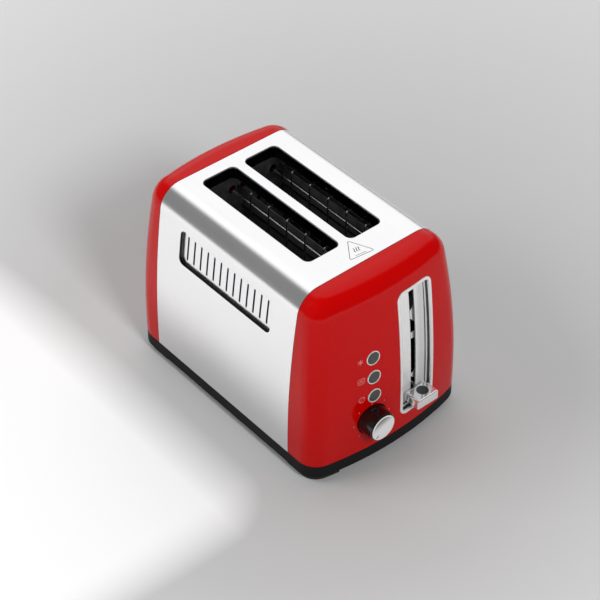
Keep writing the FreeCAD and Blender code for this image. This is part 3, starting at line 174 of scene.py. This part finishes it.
def finish(name, colour, rough, stretch=(300.0, 300.0, 300.0), detail=3.0, spread=0.12, tint=0.12,
           radius=0.0003, depth=0.000004, wear=0.1, metal=0.0, specular=0.5):
    """A surface finish: grain and cloud vary its colour and roughness, and its edges are soft and worn."""
    material = bpy.data.materials.new(name)
    material.use_nodes = True
    tree = material.node_tree
    marks = add(tree, "ShaderNodeGroup", node_tree=grain, Stretch=stretch, Detail=detail).outputs
    soft = add(tree, "ShaderNodeGroup", node_tree=edges, Radius=radius, Depth=depth,
               Height=marks["Grain"]).outputs
    clouded = calc(tree, "MULTIPLY", marks["Cloud"], CLOUD_SHARE)
    pattern = calc(tree, "MULTIPLY_ADD", marks["Grain"], GRAIN_SHARE, clouded)
    dark = tuple(c * (1 - tint) for c in colour) + (1,)
    light = tuple(min(1.0, c * (1 + tint)) for c in colour) + (1,)
    rubbed = tuple(min(1.0, c * (1 + RUBBED_GAIN * wear) + RUBBED_LIFT * wear) for c in colour) + (1,)
    varied = blend(tree, ramp(tree, pattern, PATTERN_FROM, PATTERN_TO), dark, light)
    edge_share = calc(tree, "MULTIPLY", soft["Edge"], min(1.0, WEAR_COVER * wear))
    least_rough = max(SMOOTHEST, rough * (1 - spread))
    inputs = tree.nodes["Principled BSDF"].inputs
    tree.links.new(blend(tree, edge_share, varied, rubbed), inputs["Base Color"])
    tree.links.new(ramp(tree, pattern, PATTERN_FROM, PATTERN_TO, least_rough, rough * (1 + spread)),
                   inputs["Roughness"])
    tree.links.new(soft["Normal"], inputs["Normal"])
    inputs["Metallic"].default_value = metal
    inputs["Specular IOR Level"].default_value = specular
    return material


def dress(material, *names):
    """Put a finish on CAD nodes by their material slots."""
    for name in names:
        for place_in in nodes[name].material_slots:
            place_in.material = material


def paintable(material):
    """A finish's tree, its shader's inputs and the socket of its colour, to lay more colour over it."""
    tree = material.node_tree
    inputs = tree.nodes["Principled BSDF"].inputs
    return tree, inputs, inputs["Base Color"].links[0].from_socket


def centre(name):
    """The middle of a CAD node's box."""
    low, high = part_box(name)
    return tuple((low[axis] + high[axis]) / 2 for axis in range(3))


wrap = finish("brushed_wrap", (0.86, 0.86, 0.87), 0.22, stretch=(2600.0, 9.0, 2600.0), spread=0.16, tint=0.05,
              radius=0.0003, depth=0.0000016, wear=0.05, metal=1.0)
dress(wrap, "steel_shell")

# The turned-down mouths of the slots are painted dark from just under the top face: painted shade for the
# dark gap down into the oven.
MOUTH_DEPTH = 0.0011
MOUTH_MARGIN = 0.004
MOUTH_SHADE_COLOUR = (0.055, 0.053, 0.05, 1.0)
shell_low, shell_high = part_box("steel_shell")
outer_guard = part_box("guard_right_outer")[1][0]
tree, inputs, bright = paintable(wrap)
spot = add(tree, "ShaderNodeSeparateXYZ", Vector=spot_on(tree)).outputs
across = calc(tree, "ABSOLUTE", spot[0])
mouth = ramp(tree, spot[2], shell_high[2] - MOUTH_DEPTH, shell_high[2] - 2 * MOUTH_DEPTH)
inboard = calc(tree, "LESS_THAN", across, outer_guard + MOUTH_MARGIN)
mouth_shaded = blend(tree, calc(tree, "MULTIPLY", mouth, inboard), bright, MOUTH_SHADE_COLOUR)

# The stamped step round each vent and the walls of its slits get painted shade, a dark colour for the shade
# in the
# recess: the faces inside the vent's outline that don't look out sideways.
VENT_LOW = 0.1303
VENT_HIGH = 0.1664
VENT_HALF = 0.0622
VENT_INBOARD = 0.068
SIDEWAYS = 0.8
VENT_SHADE_COLOUR = (0.028, 0.027, 0.026, 1.0)
level = calc(tree, "COMPARE", spot[2], (VENT_LOW + VENT_HIGH) / 2, (VENT_HIGH - VENT_LOW) / 2)
along = calc(tree, "COMPARE", spot[1], centre("steel_shell")[1], VENT_HALF)
outboard = calc(tree, "GREATER_THAN", across, VENT_INBOARD)
step_face = calc(tree, "LESS_THAN", calc(tree, "ABSOLUTE", facing(tree)[0]), SIDEWAYS)
in_outline = calc(tree, "MULTIPLY", level, along)
on_step = calc(tree, "MULTIPLY", outboard, step_face)
vent_shaded = blend(tree, calc(tree, "MULTIPLY", in_outline, on_step), mouth_shaded, VENT_SHADE_COLOUR)
tree.links.new(vent_shaded, inputs["Base Color"])

# End caps.
# The two gloss red covers are moulded plastic, lacquered, and step in under the steel.
red = finish("red_lacquer", (0.51, 0.0, 0.0), 0.11, stretch=(260.0, 260.0, 260.0), detail=2.0, spread=0.2,
             tint=0.03, radius=0.0004, depth=0.0000008, wear=0.01, specular=0.17)
dress(red, "front_cap", "rear_cap")

# Base and feet.
# The base and the crumb tray's grip are satin dark mouldings with a fine spark texture. Four rubber pads are
# pressed into the base's corners, and the cord's rubber bush is fitted at the rear.
dress(finish("base_moulding", (0.010, 0.010, 0.0105), 0.55, stretch=(1400.0, 1400.0, 1400.0), spread=0.2,
             tint=0.25, radius=0.0005, depth=0.00002, wear=0.12, specular=0.1), "base", "tray_grip")
dress(finish("foot_rubber", (0.016, 0.016, 0.016), 0.75, stretch=(700.0, 700.0, 700.0), tint=0.3,
             depth=0.00002, wear=0.1), "foot_front_left", "foot_front_right", "foot_rear_left",
      "foot_rear_right", "cord_gland")

# Lever window.
# A plated frame with a skirt holds a satin plate with the lever's slit, and the plated knob rides in front.
# The push buttons' rings have the same bright plating.
chrome = finish("bright_plate", (0.95, 0.95, 0.95), 0.06, stretch=(90.0, 90.0, 90.0), spread=0.5, tint=0.03,
                radius=0.0006, depth=0.0000004, wear=0.02, metal=0.6)
dress(chrome, "button_ring_lower", "button_ring_middle", "button_ring_upper")

# Behind the window frame's rim its skirt is painted in bands by the depth behind the cap's face: dark bands
# of painted shade with a bright band of painted highlight between them. The cap's face bows back from FACE_Y
# as FACE_SIDE_BOW * x ** 2 + FACE_BOW * (z - FACE_UPRIGHT) ** 2.
FACE_Y = -0.12775
FACE_SIDE_BOW = 1.556
FACE_BOW = 0.643
FACE_UPRIGHT = 0.035
RIM_PROUD = 0.001
SKIRT_DEPTH = 0.0072
RIM_TONE = 1.0
INNERMOST_SHADE_TONE = 0.1
SKIRT_SHADE_AND_HIGHLIGHT_BANDS = ((0.22, 0.04), (0.62, 0.9), (0.85, INNERMOST_SHADE_TONE))
frame_plate = chrome.copy()
frame_plate.name = "window_frame_plate"
dress(frame_plate, "lever_bezel")
tree, inputs, bright = paintable(frame_plate)
spot = add(tree, "ShaderNodeSeparateXYZ", Vector=spot_on(tree)).outputs
rise = calc(tree, "SUBTRACT", spot[2], FACE_UPRIGHT)
upright = calc(tree, "MULTIPLY_ADD", calc(tree, "MULTIPLY", rise, rise), FACE_BOW, FACE_Y)
face_y = calc(tree, "MULTIPLY_ADD", calc(tree, "MULTIPLY", spot[0], spot[0]), FACE_SIDE_BOW, upright)
behind = calc(tree, "SUBTRACT", spot[1], face_y)
painted_skirt_bands = add(tree, "ShaderNodeValToRGB", Fac=ramp(tree, behind, -RIM_PROUD, SKIRT_DEPTH))
painted_skirt_bands.color_ramp.interpolation = "CONSTANT"
for start, tone in SKIRT_SHADE_AND_HIGHLIGHT_BANDS:
    painted_skirt_bands.color_ramp.elements.new(start).color = (tone, tone, tone, 1.0)
painted_skirt_bands.color_ramp.elements[0].color = (RIM_TONE, RIM_TONE, RIM_TONE, 1.0)
painted_skirt_bands.color_ramp.elements[-1].color = (INNERMOST_SHADE_TONE, INNERMOST_SHADE_TONE, INNERMOST_SHADE_TONE, 1.0)
tree.links.new(blend(tree, 1.0, bright, painted_skirt_bands.outputs[0], kind="MULTIPLY"), inputs["Base Color"])

# A dark round disc is painted on the lever knob's top, a little off its middle: a painted reflection of a
# dark object above it, where the plating is also made non-metallic.
DARK_REFLECTION_RADIUS = 0.0056
DARK_REFLECTION_EDGE = 0.0004
DARK_REFLECTION_RIGHT = 0.0012
DARK_REFLECTION_REARWARD = 0.0006
DARK_REFLECTION_COLOUR = (0.035, 0.035, 0.035, 1.0)
KNOB_METAL = 0.75
UPWARD = 0.7
knob_plate = chrome.copy()
knob_plate.name = "knob_plate"
dress(knob_plate, "lever_knob")
tree, inputs, bright = paintable(knob_plate)
knob_x, knob_y, _ = centre("lever_knob")
from_above = add(tree, "ShaderNodeVectorMath", operation="MULTIPLY", i0=spot_on(tree), i1=(1.0, 1.0, 0.0))
from_reflection_middle = measure(tree, "DISTANCE", from_above.outputs[0], (knob_x + DARK_REFLECTION_RIGHT, knob_y + DARK_REFLECTION_REARWARD, 0.0))
disc = ramp(tree, from_reflection_middle, DARK_REFLECTION_RADIUS + DARK_REFLECTION_EDGE, DARK_REFLECTION_RADIUS - DARK_REFLECTION_EDGE)
painted_reflection = calc(tree, "MULTIPLY", disc, calc(tree, "GREATER_THAN", facing(tree)[2], UPWARD))
tree.links.new(blend(tree, painted_reflection, bright, DARK_REFLECTION_COLOUR), inputs["Base Color"])
tree.links.new(ramp(tree, painted_reflection, 0.0, 1.0, KNOB_METAL, 0.0), inputs["Metallic"])
dress(finish("window_plate", (0.88, 0.88, 0.88), 0.24, stretch=(1800.0, 1800.0, 14.0), spread=0.15, tint=0.05,
             depth=0.000002, metal=0.3), "lever_panel")

# Buttons and dial.
# Three satin push buttons, and a gloss black dial with a satin silver disc let into its face.
dress(finish("button_satin", (0.055, 0.060, 0.055), 0.42, stretch=(900.0, 900.0, 900.0), tint=0.15,
             depth=0.000006, wear=0.15), "button_lower", "button_middle", "button_upper")
dress(finish("dial_gloss", (0.006, 0.003, 0.003), 0.09, stretch=(200.0, 200.0, 200.0), tint=0.2,
             depth=0.0000006, wear=0.05, specular=0.55), "dial_body")
dial_silver = finish("dial_silver", (0.90, 0.90, 0.90), 0.24, stretch=(900.0, 900.0, 900.0), tint=0.05,
                     depth=0.000001, metal=0.3)
dress(dial_silver, "dial_cap")

# The disc is dished: painted shade, darker toward the top inside a rim left bright, stands in for the dish's
# shading. The pointer groove in it points down to the left and is filled with black.
SHADE_TOP = 0.0115
SHADE_FOOT = 0.0010
SHADE_SHARE = 0.8
SHADE_COLOUR = (0.04, 0.042, 0.042, 1.0)
RIM_FROM = 0.0113
UP_THE_DISC = (-0.25, 0.0, 0.97)
POINTER_MIDDLE = 0.0095
POINTER_HALF_LENGTH = 0.0016
POINTER_HALF_WIDTH = 0.0005
POINTER_COLOUR = (0.03, 0.03, 0.03, 1.0)
SLANT = math.sqrt(0.5)
dial_x, _, dial_z = centre("dial_body")
tree, inputs, bright = paintable(dial_silver)
from_front = add(tree, "ShaderNodeVectorMath", operation="MULTIPLY", i0=spot_on(tree), i1=(1.0, 0.0, 1.0))
offset = add(tree, "ShaderNodeVectorMath", operation="SUBTRACT", i0=from_front.outputs[0],
             i1=(dial_x, 0.0, dial_z)).outputs[0]
upward = measure(tree, "DOT_PRODUCT", offset, UP_THE_DISC)
shade = ramp(tree, upward, SHADE_FOOT, SHADE_TOP, 0.0, SHADE_SHARE, kind="SMOOTHSTEP")
inside_rim = calc(tree, "LESS_THAN", measure(tree, "LENGTH", offset), RIM_FROM)
dish_shaded = blend(tree, calc(tree, "MULTIPLY", shade, inside_rim), bright, SHADE_COLOUR)
outward = measure(tree, "DOT_PRODUCT", offset, (-SLANT, 0.0, -SLANT))
beside = measure(tree, "DOT_PRODUCT", offset, (-SLANT, 0.0, SLANT))
in_length = calc(tree, "COMPARE", outward, POINTER_MIDDLE, POINTER_HALF_LENGTH)
in_width = calc(tree, "COMPARE", beside, 0.0, POINTER_HALF_WIDTH)
pointed = blend(tree, calc(tree, "MULTIPLY", in_length, in_width), dish_shaded, POINTER_COLOUR)
tree.links.new(pointed, inputs["Base Color"])

# Inside the oven.
# The walls, lifters and reflectors are bare sheet steel. The heater cards are darkened mica wound with
# heating ribbon, and the guards are bright wire.
dress(finish("oven_steel", (0.80, 0.80, 0.81), 0.55, stretch=(120.0, 1200.0, 120.0), spread=0.25, tint=0.3,
             depth=0.000006, metal=1.0), "front_plate", "rear_plate", "lifter_left", "lifter_right")
dress(finish("reflector", (0.80, 0.80, 0.81), 0.55, stretch=(100.0, 8.0, 900.0), spread=0.3, tint=0.2,
             depth=0.000005, metal=1.0), "reflector_left", "reflector_right")
dress(finish("guard_wire", (0.75, 0.75, 0.75), 0.18, tint=0.12, depth=0.000002, metal=1.0),
      "guard_left_inner", "guard_left_outer", "guard_right_inner", "guard_right_outer")
dress(finish("mica", (0.055, 0.055, 0.055), 0.38, stretch=(160.0, 160.0, 160.0), tint=0.35, depth=0.00001,
             specular=0.35), "heater_card_left", "heater_card_centre", "heater_card_right")
dress(finish("heater_alloy", (0.085, 0.080, 0.078), 0.40, tint=0.25, metal=1.0),
      "heater_ribbon_left", "heater_ribbon_centre", "heater_ribbon_right")

# Mechanism and electrics.
# Zinc-plated guides, carriage, tray and screws, a printed board, black switches, brass contacts and a copper
# latch coil.
dress(finish("zinc_steel", (0.56, 0.57, 0.58), 0.33, stretch=(80.0, 80.0, 700.0), tint=0.15, metal=1.0),
      "guide_rod", "carriage", "lever_arm", "dial_shaft", "base_screws", "plate_screws",
      "board_screws", "crumb_tray", "armature", "magnet_core")
dress(finish("board_laminate", (0.36, 0.25, 0.10), 0.4, tint=0.15), "control_board")
dress(finish("switch_black", (0.02, 0.02, 0.02), 0.45, tint=0.2), "button_switches", "contact_block",
      "potentiometer")
dress(finish("contact_brass", (0.78, 0.56, 0.24), 0.3, tint=0.1, metal=1.0), "contact_leaves")
dress(finish("coil_copper", (0.55, 0.20, 0.07), 0.35, stretch=(60.0, 60.0, 2500.0), tint=0.3, metal=0.6),
      "magnet_coil")

# Guide strip behind the lever's slit.
# A stamped strip of bright plated steel stands behind the window plate, beside the lever's arm. Three tabs
# reach in behind the slit and steady the arm; the strip is spot-welded to the window frame's skirt.
STRIP_FOOT = 0.045
STRIP_TOP = 0.148
STRIP_LEVELS = 340
STRIP_LEFT = 0.0342
STRIP_RIGHT = 0.0395
STRIP_WALL = 0.0008
STRIP_BEHIND = 0.0114
TAB_REACH = 0.0050
STRIP_TABS = ((0.1246, 0.0095, 0.006), (0.1026, 0.0038, 0.001), (0.0580, 0.0050, 0.004))


def guide_strip(levels, tabs):
    """A plate swept upwards: at each level a rectangle a wall thick, whose left edge reaches out at the tabs.
    A tab is (middle, half height, slope): its share is how far the level is inside it, over a slope."""
    reach = np.zeros(len(levels))
    for middle, half, slope in tabs:
        inside = half - np.abs(levels - middle)
        reach = np.maximum(reach, TAB_REACH * np.clip(inside / slope, 0, 1))
    near = FACE_Y + FACE_SIDE_BOW * STRIP_LEFT ** 2 + FACE_BOW * (levels - FACE_UPRIGHT) ** 2 + STRIP_BEHIND
    left = STRIP_LEFT - reach
    right = np.full(len(levels), STRIP_RIGHT)
    x = np.stack([left, right, right, left], axis=1)
    y = np.stack([near, near, near + STRIP_WALL, near + STRIP_WALL], axis=1)
    z = np.repeat(levels[:, None], 4, axis=1)
    corner = np.arange(4)
    following = (corner + 1) % 4
    row = np.arange(len(levels) - 1)[:, None] * 4
    sides = np.stack([row + corner, row + following, row + following + 4, row + corner + 4], axis=2)
    ends = np.stack([corner[::-1], corner + (len(levels) - 1) * 4])
    return np.stack([x, y, z], axis=2).reshape(-1, 3), np.concatenate([sides.reshape(-1, 4), ends])


def new_piece(name, points, faces, material):
    """A piece from its points and faces, in the scene and untransformed."""
    mesh = bpy.data.meshes.new(name)
    mesh.from_pydata(points.tolist(), [], faces)
    mesh.materials.append(material)
    piece = bpy.data.objects.new(name, mesh)
    bpy.context.scene.collection.objects.link(piece)
    return piece


points, faces = guide_strip(np.linspace(STRIP_FOOT, STRIP_TOP, STRIP_LEVELS), STRIP_TABS)
strip_zinc = finish("guide_strip_zinc", (0.92, 0.92, 0.92), 0.35, stretch=(80.0, 80.0, 600.0), tint=0.05,
                    metal=0.1)
strip = new_piece("lever_guide_strip", points, faces.tolist(), strip_zinc)
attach(strip, "casing")

# Lift spring.
# A tension spring of round steel wire between the carriage's ear and the oven's upper shelf. It is built
# drawn out, as it stands with the lever down; in the toaster it closes up coil to coil as the carriage rises,
# which this coil doesn't do.
SPRING_TURNS = 20
WIRE_RADIUS = 0.0004
COIL_RADIUS = 0.0030
WIRE_SIDES = 8
TURN_STEPS = 36


def coil_spring(middle, low, high):
    """A tube along a helix: the path is the coil's radius times cosine and sine of the turn, rising evenly,
    and each ring of the tube lies across it, the wire's radius times cosine outwards and sine upwards."""
    turn = np.linspace(0, 2 * np.pi * SPRING_TURNS, SPRING_TURNS * TURN_STEPS)[:, None]
    around = np.linspace(0, 2 * np.pi, WIRE_SIDES, endpoint=False)[None, :]
    out = COIL_RADIUS + WIRE_RADIUS * np.cos(around)
    climb = (high - low - 2 * WIRE_RADIUS) * turn / turn[-1]
    height = low + WIRE_RADIUS + climb + WIRE_RADIUS * np.sin(around)
    points = np.stack([middle[0] + out * np.cos(turn), middle[1] + out * np.sin(turn), height], axis=2)
    row = np.arange(len(turn) - 1)[:, None] * WIRE_SIDES
    side = np.arange(WIRE_SIDES)
    following = (side + 1) % WIRE_SIDES
    skin = np.stack([row + side, row + side + WIRE_SIDES, row + following + WIRE_SIDES, row + following],
                    axis=2)
    ends = np.stack([side, side[::-1] + (len(turn) - 1) * WIRE_SIDES])
    return points.reshape(-1, 3), skin.reshape(-1, 4).tolist() + ends.tolist()


spring_low, spring_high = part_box("lift_spring")
spring_middle = centre("lift_spring")[:2]
points, faces = coil_spring(spring_middle, spring_low[2], spring_high[2])
spring_wire = finish("spring_wire", (0.50, 0.51, 0.52), 0.3, tint=0.15, metal=1.0)
coil = new_piece("lift_spring_drawn", points, faces, spring_wire)
coil.data.polygons.foreach_set("use_smooth", np.ones(len(coil.data.polygons), bool))
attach(coil, "casing")
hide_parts("lift_spring")
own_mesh(coil)

# Pictures beside the buttons.
# Pale ink, screened on the red cap: a star, a slice of bread and a crossed ring. Each is worked out flat as
# strokes, then pressed onto the cap's bowed face.


def ribbon(path, width, closed=False):
    """A flat stroke along a path of (u, v) points: each point gives two, half a width to each side of the
    path's direction there. Returns the corners and the quads between neighbouring pairs."""
    path = np.asarray(path, float)
    ahead = np.roll(path, -1, axis=0)
    behind = np.roll(path, 1, axis=0)
    if not closed:
        ahead[-1] = path[-1]
        behind[0] = path[0]
    along = ahead - behind
    along /= np.linalg.norm(along, axis=1)[:, None]
    side = np.stack([-along[:, 1], along[:, 0]], axis=1) * width / 2
    corners = np.concatenate([path + side, path - side])
    count = len(path)
    first = np.arange(count if closed else count - 1)
    second = (first + 1) % count
    return corners, np.stack([first, first + count, second + count, second], axis=1)


def ring(radius, count=40):
    """A closed path about the middle: radius times cosine and sine."""
    turn = np.linspace(0, 2 * np.pi, count, endpoint=False)
    return np.stack([radius * np.cos(turn), radius * np.sin(turn)], axis=1)


def bread_slice(half_width, half_height, count=48):
    """A closed path between a ring and a square: the square roots of cosine and sine, each with its sign."""
    turn = np.linspace(0, 2 * np.pi, count, endpoint=False)
    return np.stack([np.sign(np.cos(turn)) * np.abs(np.cos(turn)) ** 0.5 * half_width,
                     np.sign(np.sin(turn)) * np.abs(np.sin(turn)) ** 0.5 * half_height], axis=1)


def bar(length, angle, count=9):
    """A straight path of a length through the middle, at an angle in degrees."""
    along = np.linspace(-length / 2, length / 2, count)[:, None]
    return along * np.array([math.cos(math.radians(angle)), math.sin(math.radians(angle))])


def wave(height, sway, count=25):
    """An upright path that sways once to each side: u is the sway times the sine of the height."""
    up = np.linspace(-0.5, 0.5, count)
    return np.stack([sway * np.sin(2 * np.pi * up), height * up], axis=1)


def flat_marks(name, strokes, place_on, material):
    """One piece of flat strokes on the casing: each (u, v) corner goes where place_on says."""
    points, quads, start = [], [], 0
    for corners, faces in strokes:
        points.append(place_on(corners))
        quads.append(faces + start)
        start += len(corners)
    piece = new_piece(name, np.concatenate(points), np.concatenate(quads).tolist(), material)
    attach(piece, "casing")
    return piece


PRESSED_FILM = 0.00003


def press_on(piece, target):
    """Projects a piece along Y onto a CAD node's surface, and leaves it an ink film's height proud."""
    wrap_on = piece.modifiers.new("press", "SHRINKWRAP")
    wrap_on.target = nodes[target]
    wrap_on.wrap_method = "PROJECT"
    wrap_on.use_project_y = True
    wrap_on.use_negative_direction = False
    wrap_on.use_positive_direction = True
    wrap_on.offset = PRESSED_FILM
    bpy.context.view_layer.objects.active = piece
    bpy.ops.object.modifier_apply(modifier="press")


IN_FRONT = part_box("front_cap")[0][1] - 0.02


def before_front(corners, x, z):
    """Flat corners stood upright in front of the cap, about a point of its face."""
    return np.stack([corners[:, 0] + x, np.full(len(corners), IN_FRONT), corners[:, 1] + z], axis=1)


PICTURE_GAP = 0.0128
PICTURE_RISE = 0.0013
LINE = 0.0004
STAR_ARMS = (30, 90, 150)
STAR_SPAN = 0.0062
STAR_HUB = 0.0011
SLICE_HALF_WIDTH = 0.0034
SLICE_HALF_HEIGHT = 0.0029
HEAT_PLACES = (-0.0014, 0.0, 0.0014)
HEAT_HEIGHT = 0.0032
HEAT_SWAY = 0.00045
CROSSED_RADIUS = 0.0029
CROSSING_LENGTH = 0.0056
CROSSING_TURN = 45
pale_ink = finish("pale_ink", (0.64, 0.27, 0.26), 0.45, tint=0.1, depth=0.000001)
star = [ribbon(bar(STAR_SPAN, angle), LINE) for angle in STAR_ARMS] + [ribbon(ring(STAR_HUB, 16), LINE, True)]
toast = [ribbon(bread_slice(SLICE_HALF_WIDTH, SLICE_HALF_HEIGHT), LINE, True)]
toast += [ribbon(wave(HEAT_HEIGHT, HEAT_SWAY) + (side, 0), LINE) for side in HEAT_PLACES]
crossed_ring = [ribbon(ring(CROSSED_RADIUS), LINE, True), ribbon(bar(CROSSING_LENGTH, CROSSING_TURN), LINE)]
for level, strokes in (("upper", star), ("middle", toast), ("lower", crossed_ring)):
    ring_x, _, ring_z = centre("button_ring_" + level)

    def beside_button(corners, x=ring_x - PICTURE_GAP, z=ring_z + PICTURE_RISE):
        return before_front(corners, x, z)

    picture = flat_marks("button_picture_" + level, strokes, beside_button, pale_ink)
    press_on(picture, "front_cap")

# Numbers round the dial.
# The browning settings 1 to 6, in the same pale ink, go clockwise from the lower left. The fourth stands
# closer in, clear of the lower button's hole.
NUMBER_RADII = (0.0188, 0.0188, 0.0188, 0.0168, 0.0188, 0.0188)
NUMBER_SIZE = 0.0025
FIRST_TURN = 225
TURN_STEP = -45
for step, radius in enumerate(NUMBER_RADII):
    figure = bpy.data.curves.new("figure", "FONT")
    figure.body = str(step + 1)
    figure.size = NUMBER_SIZE
    figure.align_x = "CENTER"
    figure.align_y = "CENTER"
    holder = bpy.data.objects.new("figure", figure)
    bpy.context.scene.collection.objects.link(holder)
    bpy.context.view_layer.update()
    mesh = bpy.data.meshes.new_from_object(holder)
    bpy.data.objects.remove(holder)
    turn = math.radians(FIRST_TURN + TURN_STEP * step)
    flat = np.empty(len(mesh.vertices) * 3)
    mesh.vertices.foreach_get("co", flat)
    flat = flat.reshape(-1, 3)[:, :2] + radius * np.array([math.cos(turn), math.sin(turn)])
    mesh.vertices.foreach_set("co", before_front(flat, dial_x, dial_z).ravel())
    mesh.materials.clear()
    mesh.materials.append(pale_ink)
    number = bpy.data.objects.new("dial_number_" + str(step + 1), mesh)
    bpy.context.scene.collection.objects.link(number)
    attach(number, "casing")
    press_on(number, "front_cap")

# Hot surface sign.
# A grey outline triangle with three rising waves over a bar, printed on the steel between the slots and the
# front cap.
SIGN_X = 0.0005
SIGN_Y = shell_low[1] + 0.0132
SIGN_RADIUS = 0.0141
SIGN_CORNER = 0.0011
SIGN_TURN = math.radians(83.5)
SIGN_LINE = 0.00056
WAVE_LINE = 0.0007
WAVE_HEIGHT = 0.0052
WAVE_SWAY = 0.0006
WAVE_GAP = 0.0022
WAVE_RISE = 0.0012
BAR_LINE = 0.0005
BAR_LENGTH = 0.0105
BAR_DROP = 0.0050
INK_FILM = 0.00002
QUARTER_TURN = np.array([[0, 1], [-1, 0]])
CORNER_TURNS = np.array([0, 120, 240])[:, None]


def rounded_triangle(radius, corner, count=8):
    """A closed path: at each of three corners, an arc of a third of a turn about a centre set in from it."""
    turns = np.radians(np.linspace(-60, 60, count)[None, :] + CORNER_TURNS)
    middles = np.radians(CORNER_TURNS + np.zeros((1, count)))
    inset = radius - 2 * corner
    return np.stack([(inset * np.cos(middles) + corner * np.cos(turns)).ravel(),
                     (inset * np.sin(middles) + corner * np.sin(turns)).ravel()], axis=1)


def on_top(corners):
    """Turned so that one corner points at the right rear, on the top face, an ink film's height proud."""
    u = corners[:, 0] * math.cos(SIGN_TURN) - corners[:, 1] * math.sin(SIGN_TURN)
    v = corners[:, 0] * math.sin(SIGN_TURN) + corners[:, 1] * math.cos(SIGN_TURN)
    return np.stack([u + SIGN_X, v + SIGN_Y, np.full(len(corners), cad_high[2] + INK_FILM)], axis=1)


grey_ink = finish("grey_ink", (0.05, 0.05, 0.055), 0.5, tint=0.1, depth=0.000001)
sign = [ribbon(rounded_triangle(SIGN_RADIUS, SIGN_CORNER), SIGN_LINE, True)]
for shift in (-WAVE_GAP, 0.0, WAVE_GAP):
    sign.append(ribbon(wave(WAVE_HEIGHT, WAVE_SWAY) @ QUARTER_TURN + (WAVE_RISE, shift), WAVE_LINE))
sign.append(ribbon(bar(BAR_LENGTH, 90) + (-BAR_DROP, 0), BAR_LINE))
hot_sign = flat_marks("hot_surface_sign", sign, on_top, grey_ink)

# Studio floor.
# A matt sheet, painted grey round the toaster as painted shade and paler farther off. At its left side it
# stays pale closer in, for the steel to mirror, and grades into painted shade against the toaster's side.
FLOOR_SIZE = 14
FLOOR_ROUGH = 0.8
NEAR = 0.25
NEAR_SHADE_TONE = 0.5
FAR = 0.9
FAR_TONE = 0.9
PALE_LEFT_FRONT = -0.19
PALE_LEFT_FULL_FROM = -0.07
PALE_LEFT_OUTER = -0.165
PALE_LEFT_OUTER_TONE = 0.9
PALE_LEFT_INNER = -0.088
PALE_LEFT_SHADE_TONE = 0.3
bpy.ops.mesh.primitive_plane_add(size=FLOOR_SIZE)
floor = bpy.context.object
floor.name = "floor"
floor_paint = bpy.data.materials.new("floor_paint")
floor_paint.use_nodes = True
tree = floor_paint.node_tree
inputs = tree.nodes["Principled BSDF"].inputs
spot = spot_on(tree)
spot_parts = add(tree, "ShaderNodeSeparateXYZ", Vector=spot).outputs
far_tone = ramp(tree, measure(tree, "LENGTH", spot), NEAR, FAR, NEAR_SHADE_TONE, FAR_TONE)
pale_left_share = ramp(tree, spot_parts[1], PALE_LEFT_FRONT, PALE_LEFT_FULL_FROM, kind="SMOOTHSTEP")
pale_left_tone = ramp(tree, spot_parts[0], PALE_LEFT_OUTER, PALE_LEFT_INNER, PALE_LEFT_OUTER_TONE, PALE_LEFT_SHADE_TONE)
pale_left_with_shade = calc(tree, "MULTIPLY", pale_left_share, pale_left_tone)
tree.links.new(calc(tree, "MAXIMUM", far_tone, pale_left_with_shade), inputs["Base Color"])
inputs["Roughness"].default_value = FLOOR_ROUGH
floor.data.materials.append(floor_paint)

# Studio lights.
# A small key lamp in front and a wide one over the floor at the left, both kept out of the mirror images; a
# soft bank high at the right and rear, a faint screen at the left rear, and dim walls all round.


def softbox(name, place_at, aim, side, power):
    """A square area light at a place, turned to face a point, that gloss doesn't mirror."""
    lamp = bpy.data.lights.new(name, "AREA")
    lamp.shape = "RECTANGLE"
    lamp.size = side
    lamp.size_y = side
    lamp.energy = power
    holder = bpy.data.objects.new(name, lamp)
    holder.location = place_at
    holder.rotation_mode = "QUATERNION"
    holder.rotation_quaternion = (Vector(aim) - Vector(place_at)).to_track_quat("-Z", "Y")
    holder.visible_glossy = False
    bpy.context.scene.collection.objects.link(holder)


def glow(tree, toward, start, end, first, last):
    """Light from a part of the surroundings: it goes from first to last as the view turns toward it."""
    view = add(tree, "ShaderNodeTexCoord").outputs["Generated"]
    nearness = measure(tree, "DOT_PRODUCT", view, Vector(toward).normalized())
    return ramp(tree, nearness, start, end, first, last, kind="SMOOTHSTEP")


softbox("key_front", (-0.35, -1.9, 1.75), (0, -0.1, 0.09), 0.55, 36)
softbox("lamp_left_rear", (-1.15, 0.75, 1.25), (-0.35, 0.25, 0.0), 0.9, 13)
DIM_WALLS = 0.13
BANK_GLOW = 1.12
SCREEN_GLOW = 0.12
world = bpy.data.worlds.new("studio")
bpy.context.scene.world = world
world.use_nodes = True
sky = world.node_tree
bank = glow(sky, (0.50, 0.50, 0.70), 0.66, 0.86, DIM_WALLS, BANK_GLOW)
screen = glow(sky, (-0.66, 0.57, 0.48), 0.35, 0.75, 0.0, SCREEN_GLOW)
background = sky.nodes["Background"].inputs
sky.links.new(calc(sky, "ADD", bank, screen), background["Color"])
background["Strength"].default_value = 1.0
bpy.context.scene.view_settings.view_transform = "Standard"

# Camera.
# A long lens looks down on the toaster from beyond its front left corner.
AZIMUTH = math.radians(-40.45)
ELEVATION = math.radians(41.68)
STAND = (-0.7850, -0.92175, 1.1627)
LENS = 110.4
back = Vector((math.sin(AZIMUTH) * math.cos(ELEVATION), -math.cos(AZIMUTH) * math.cos(ELEVATION),
               math.sin(ELEVATION)))
camera_data = bpy.data.cameras.new("camera")
camera_data.lens = LENS
camera_data.sensor_width = 36.0
camera = bpy.data.objects.new("camera", camera_data)
camera.location = STAND
camera.rotation_mode = "QUATERNION"
camera.rotation_quaternion = (-back).to_track_quat("-Z", "Y")
bpy.context.scene.collection.objects.link(camera)
bpy.context.scene.camera = camera
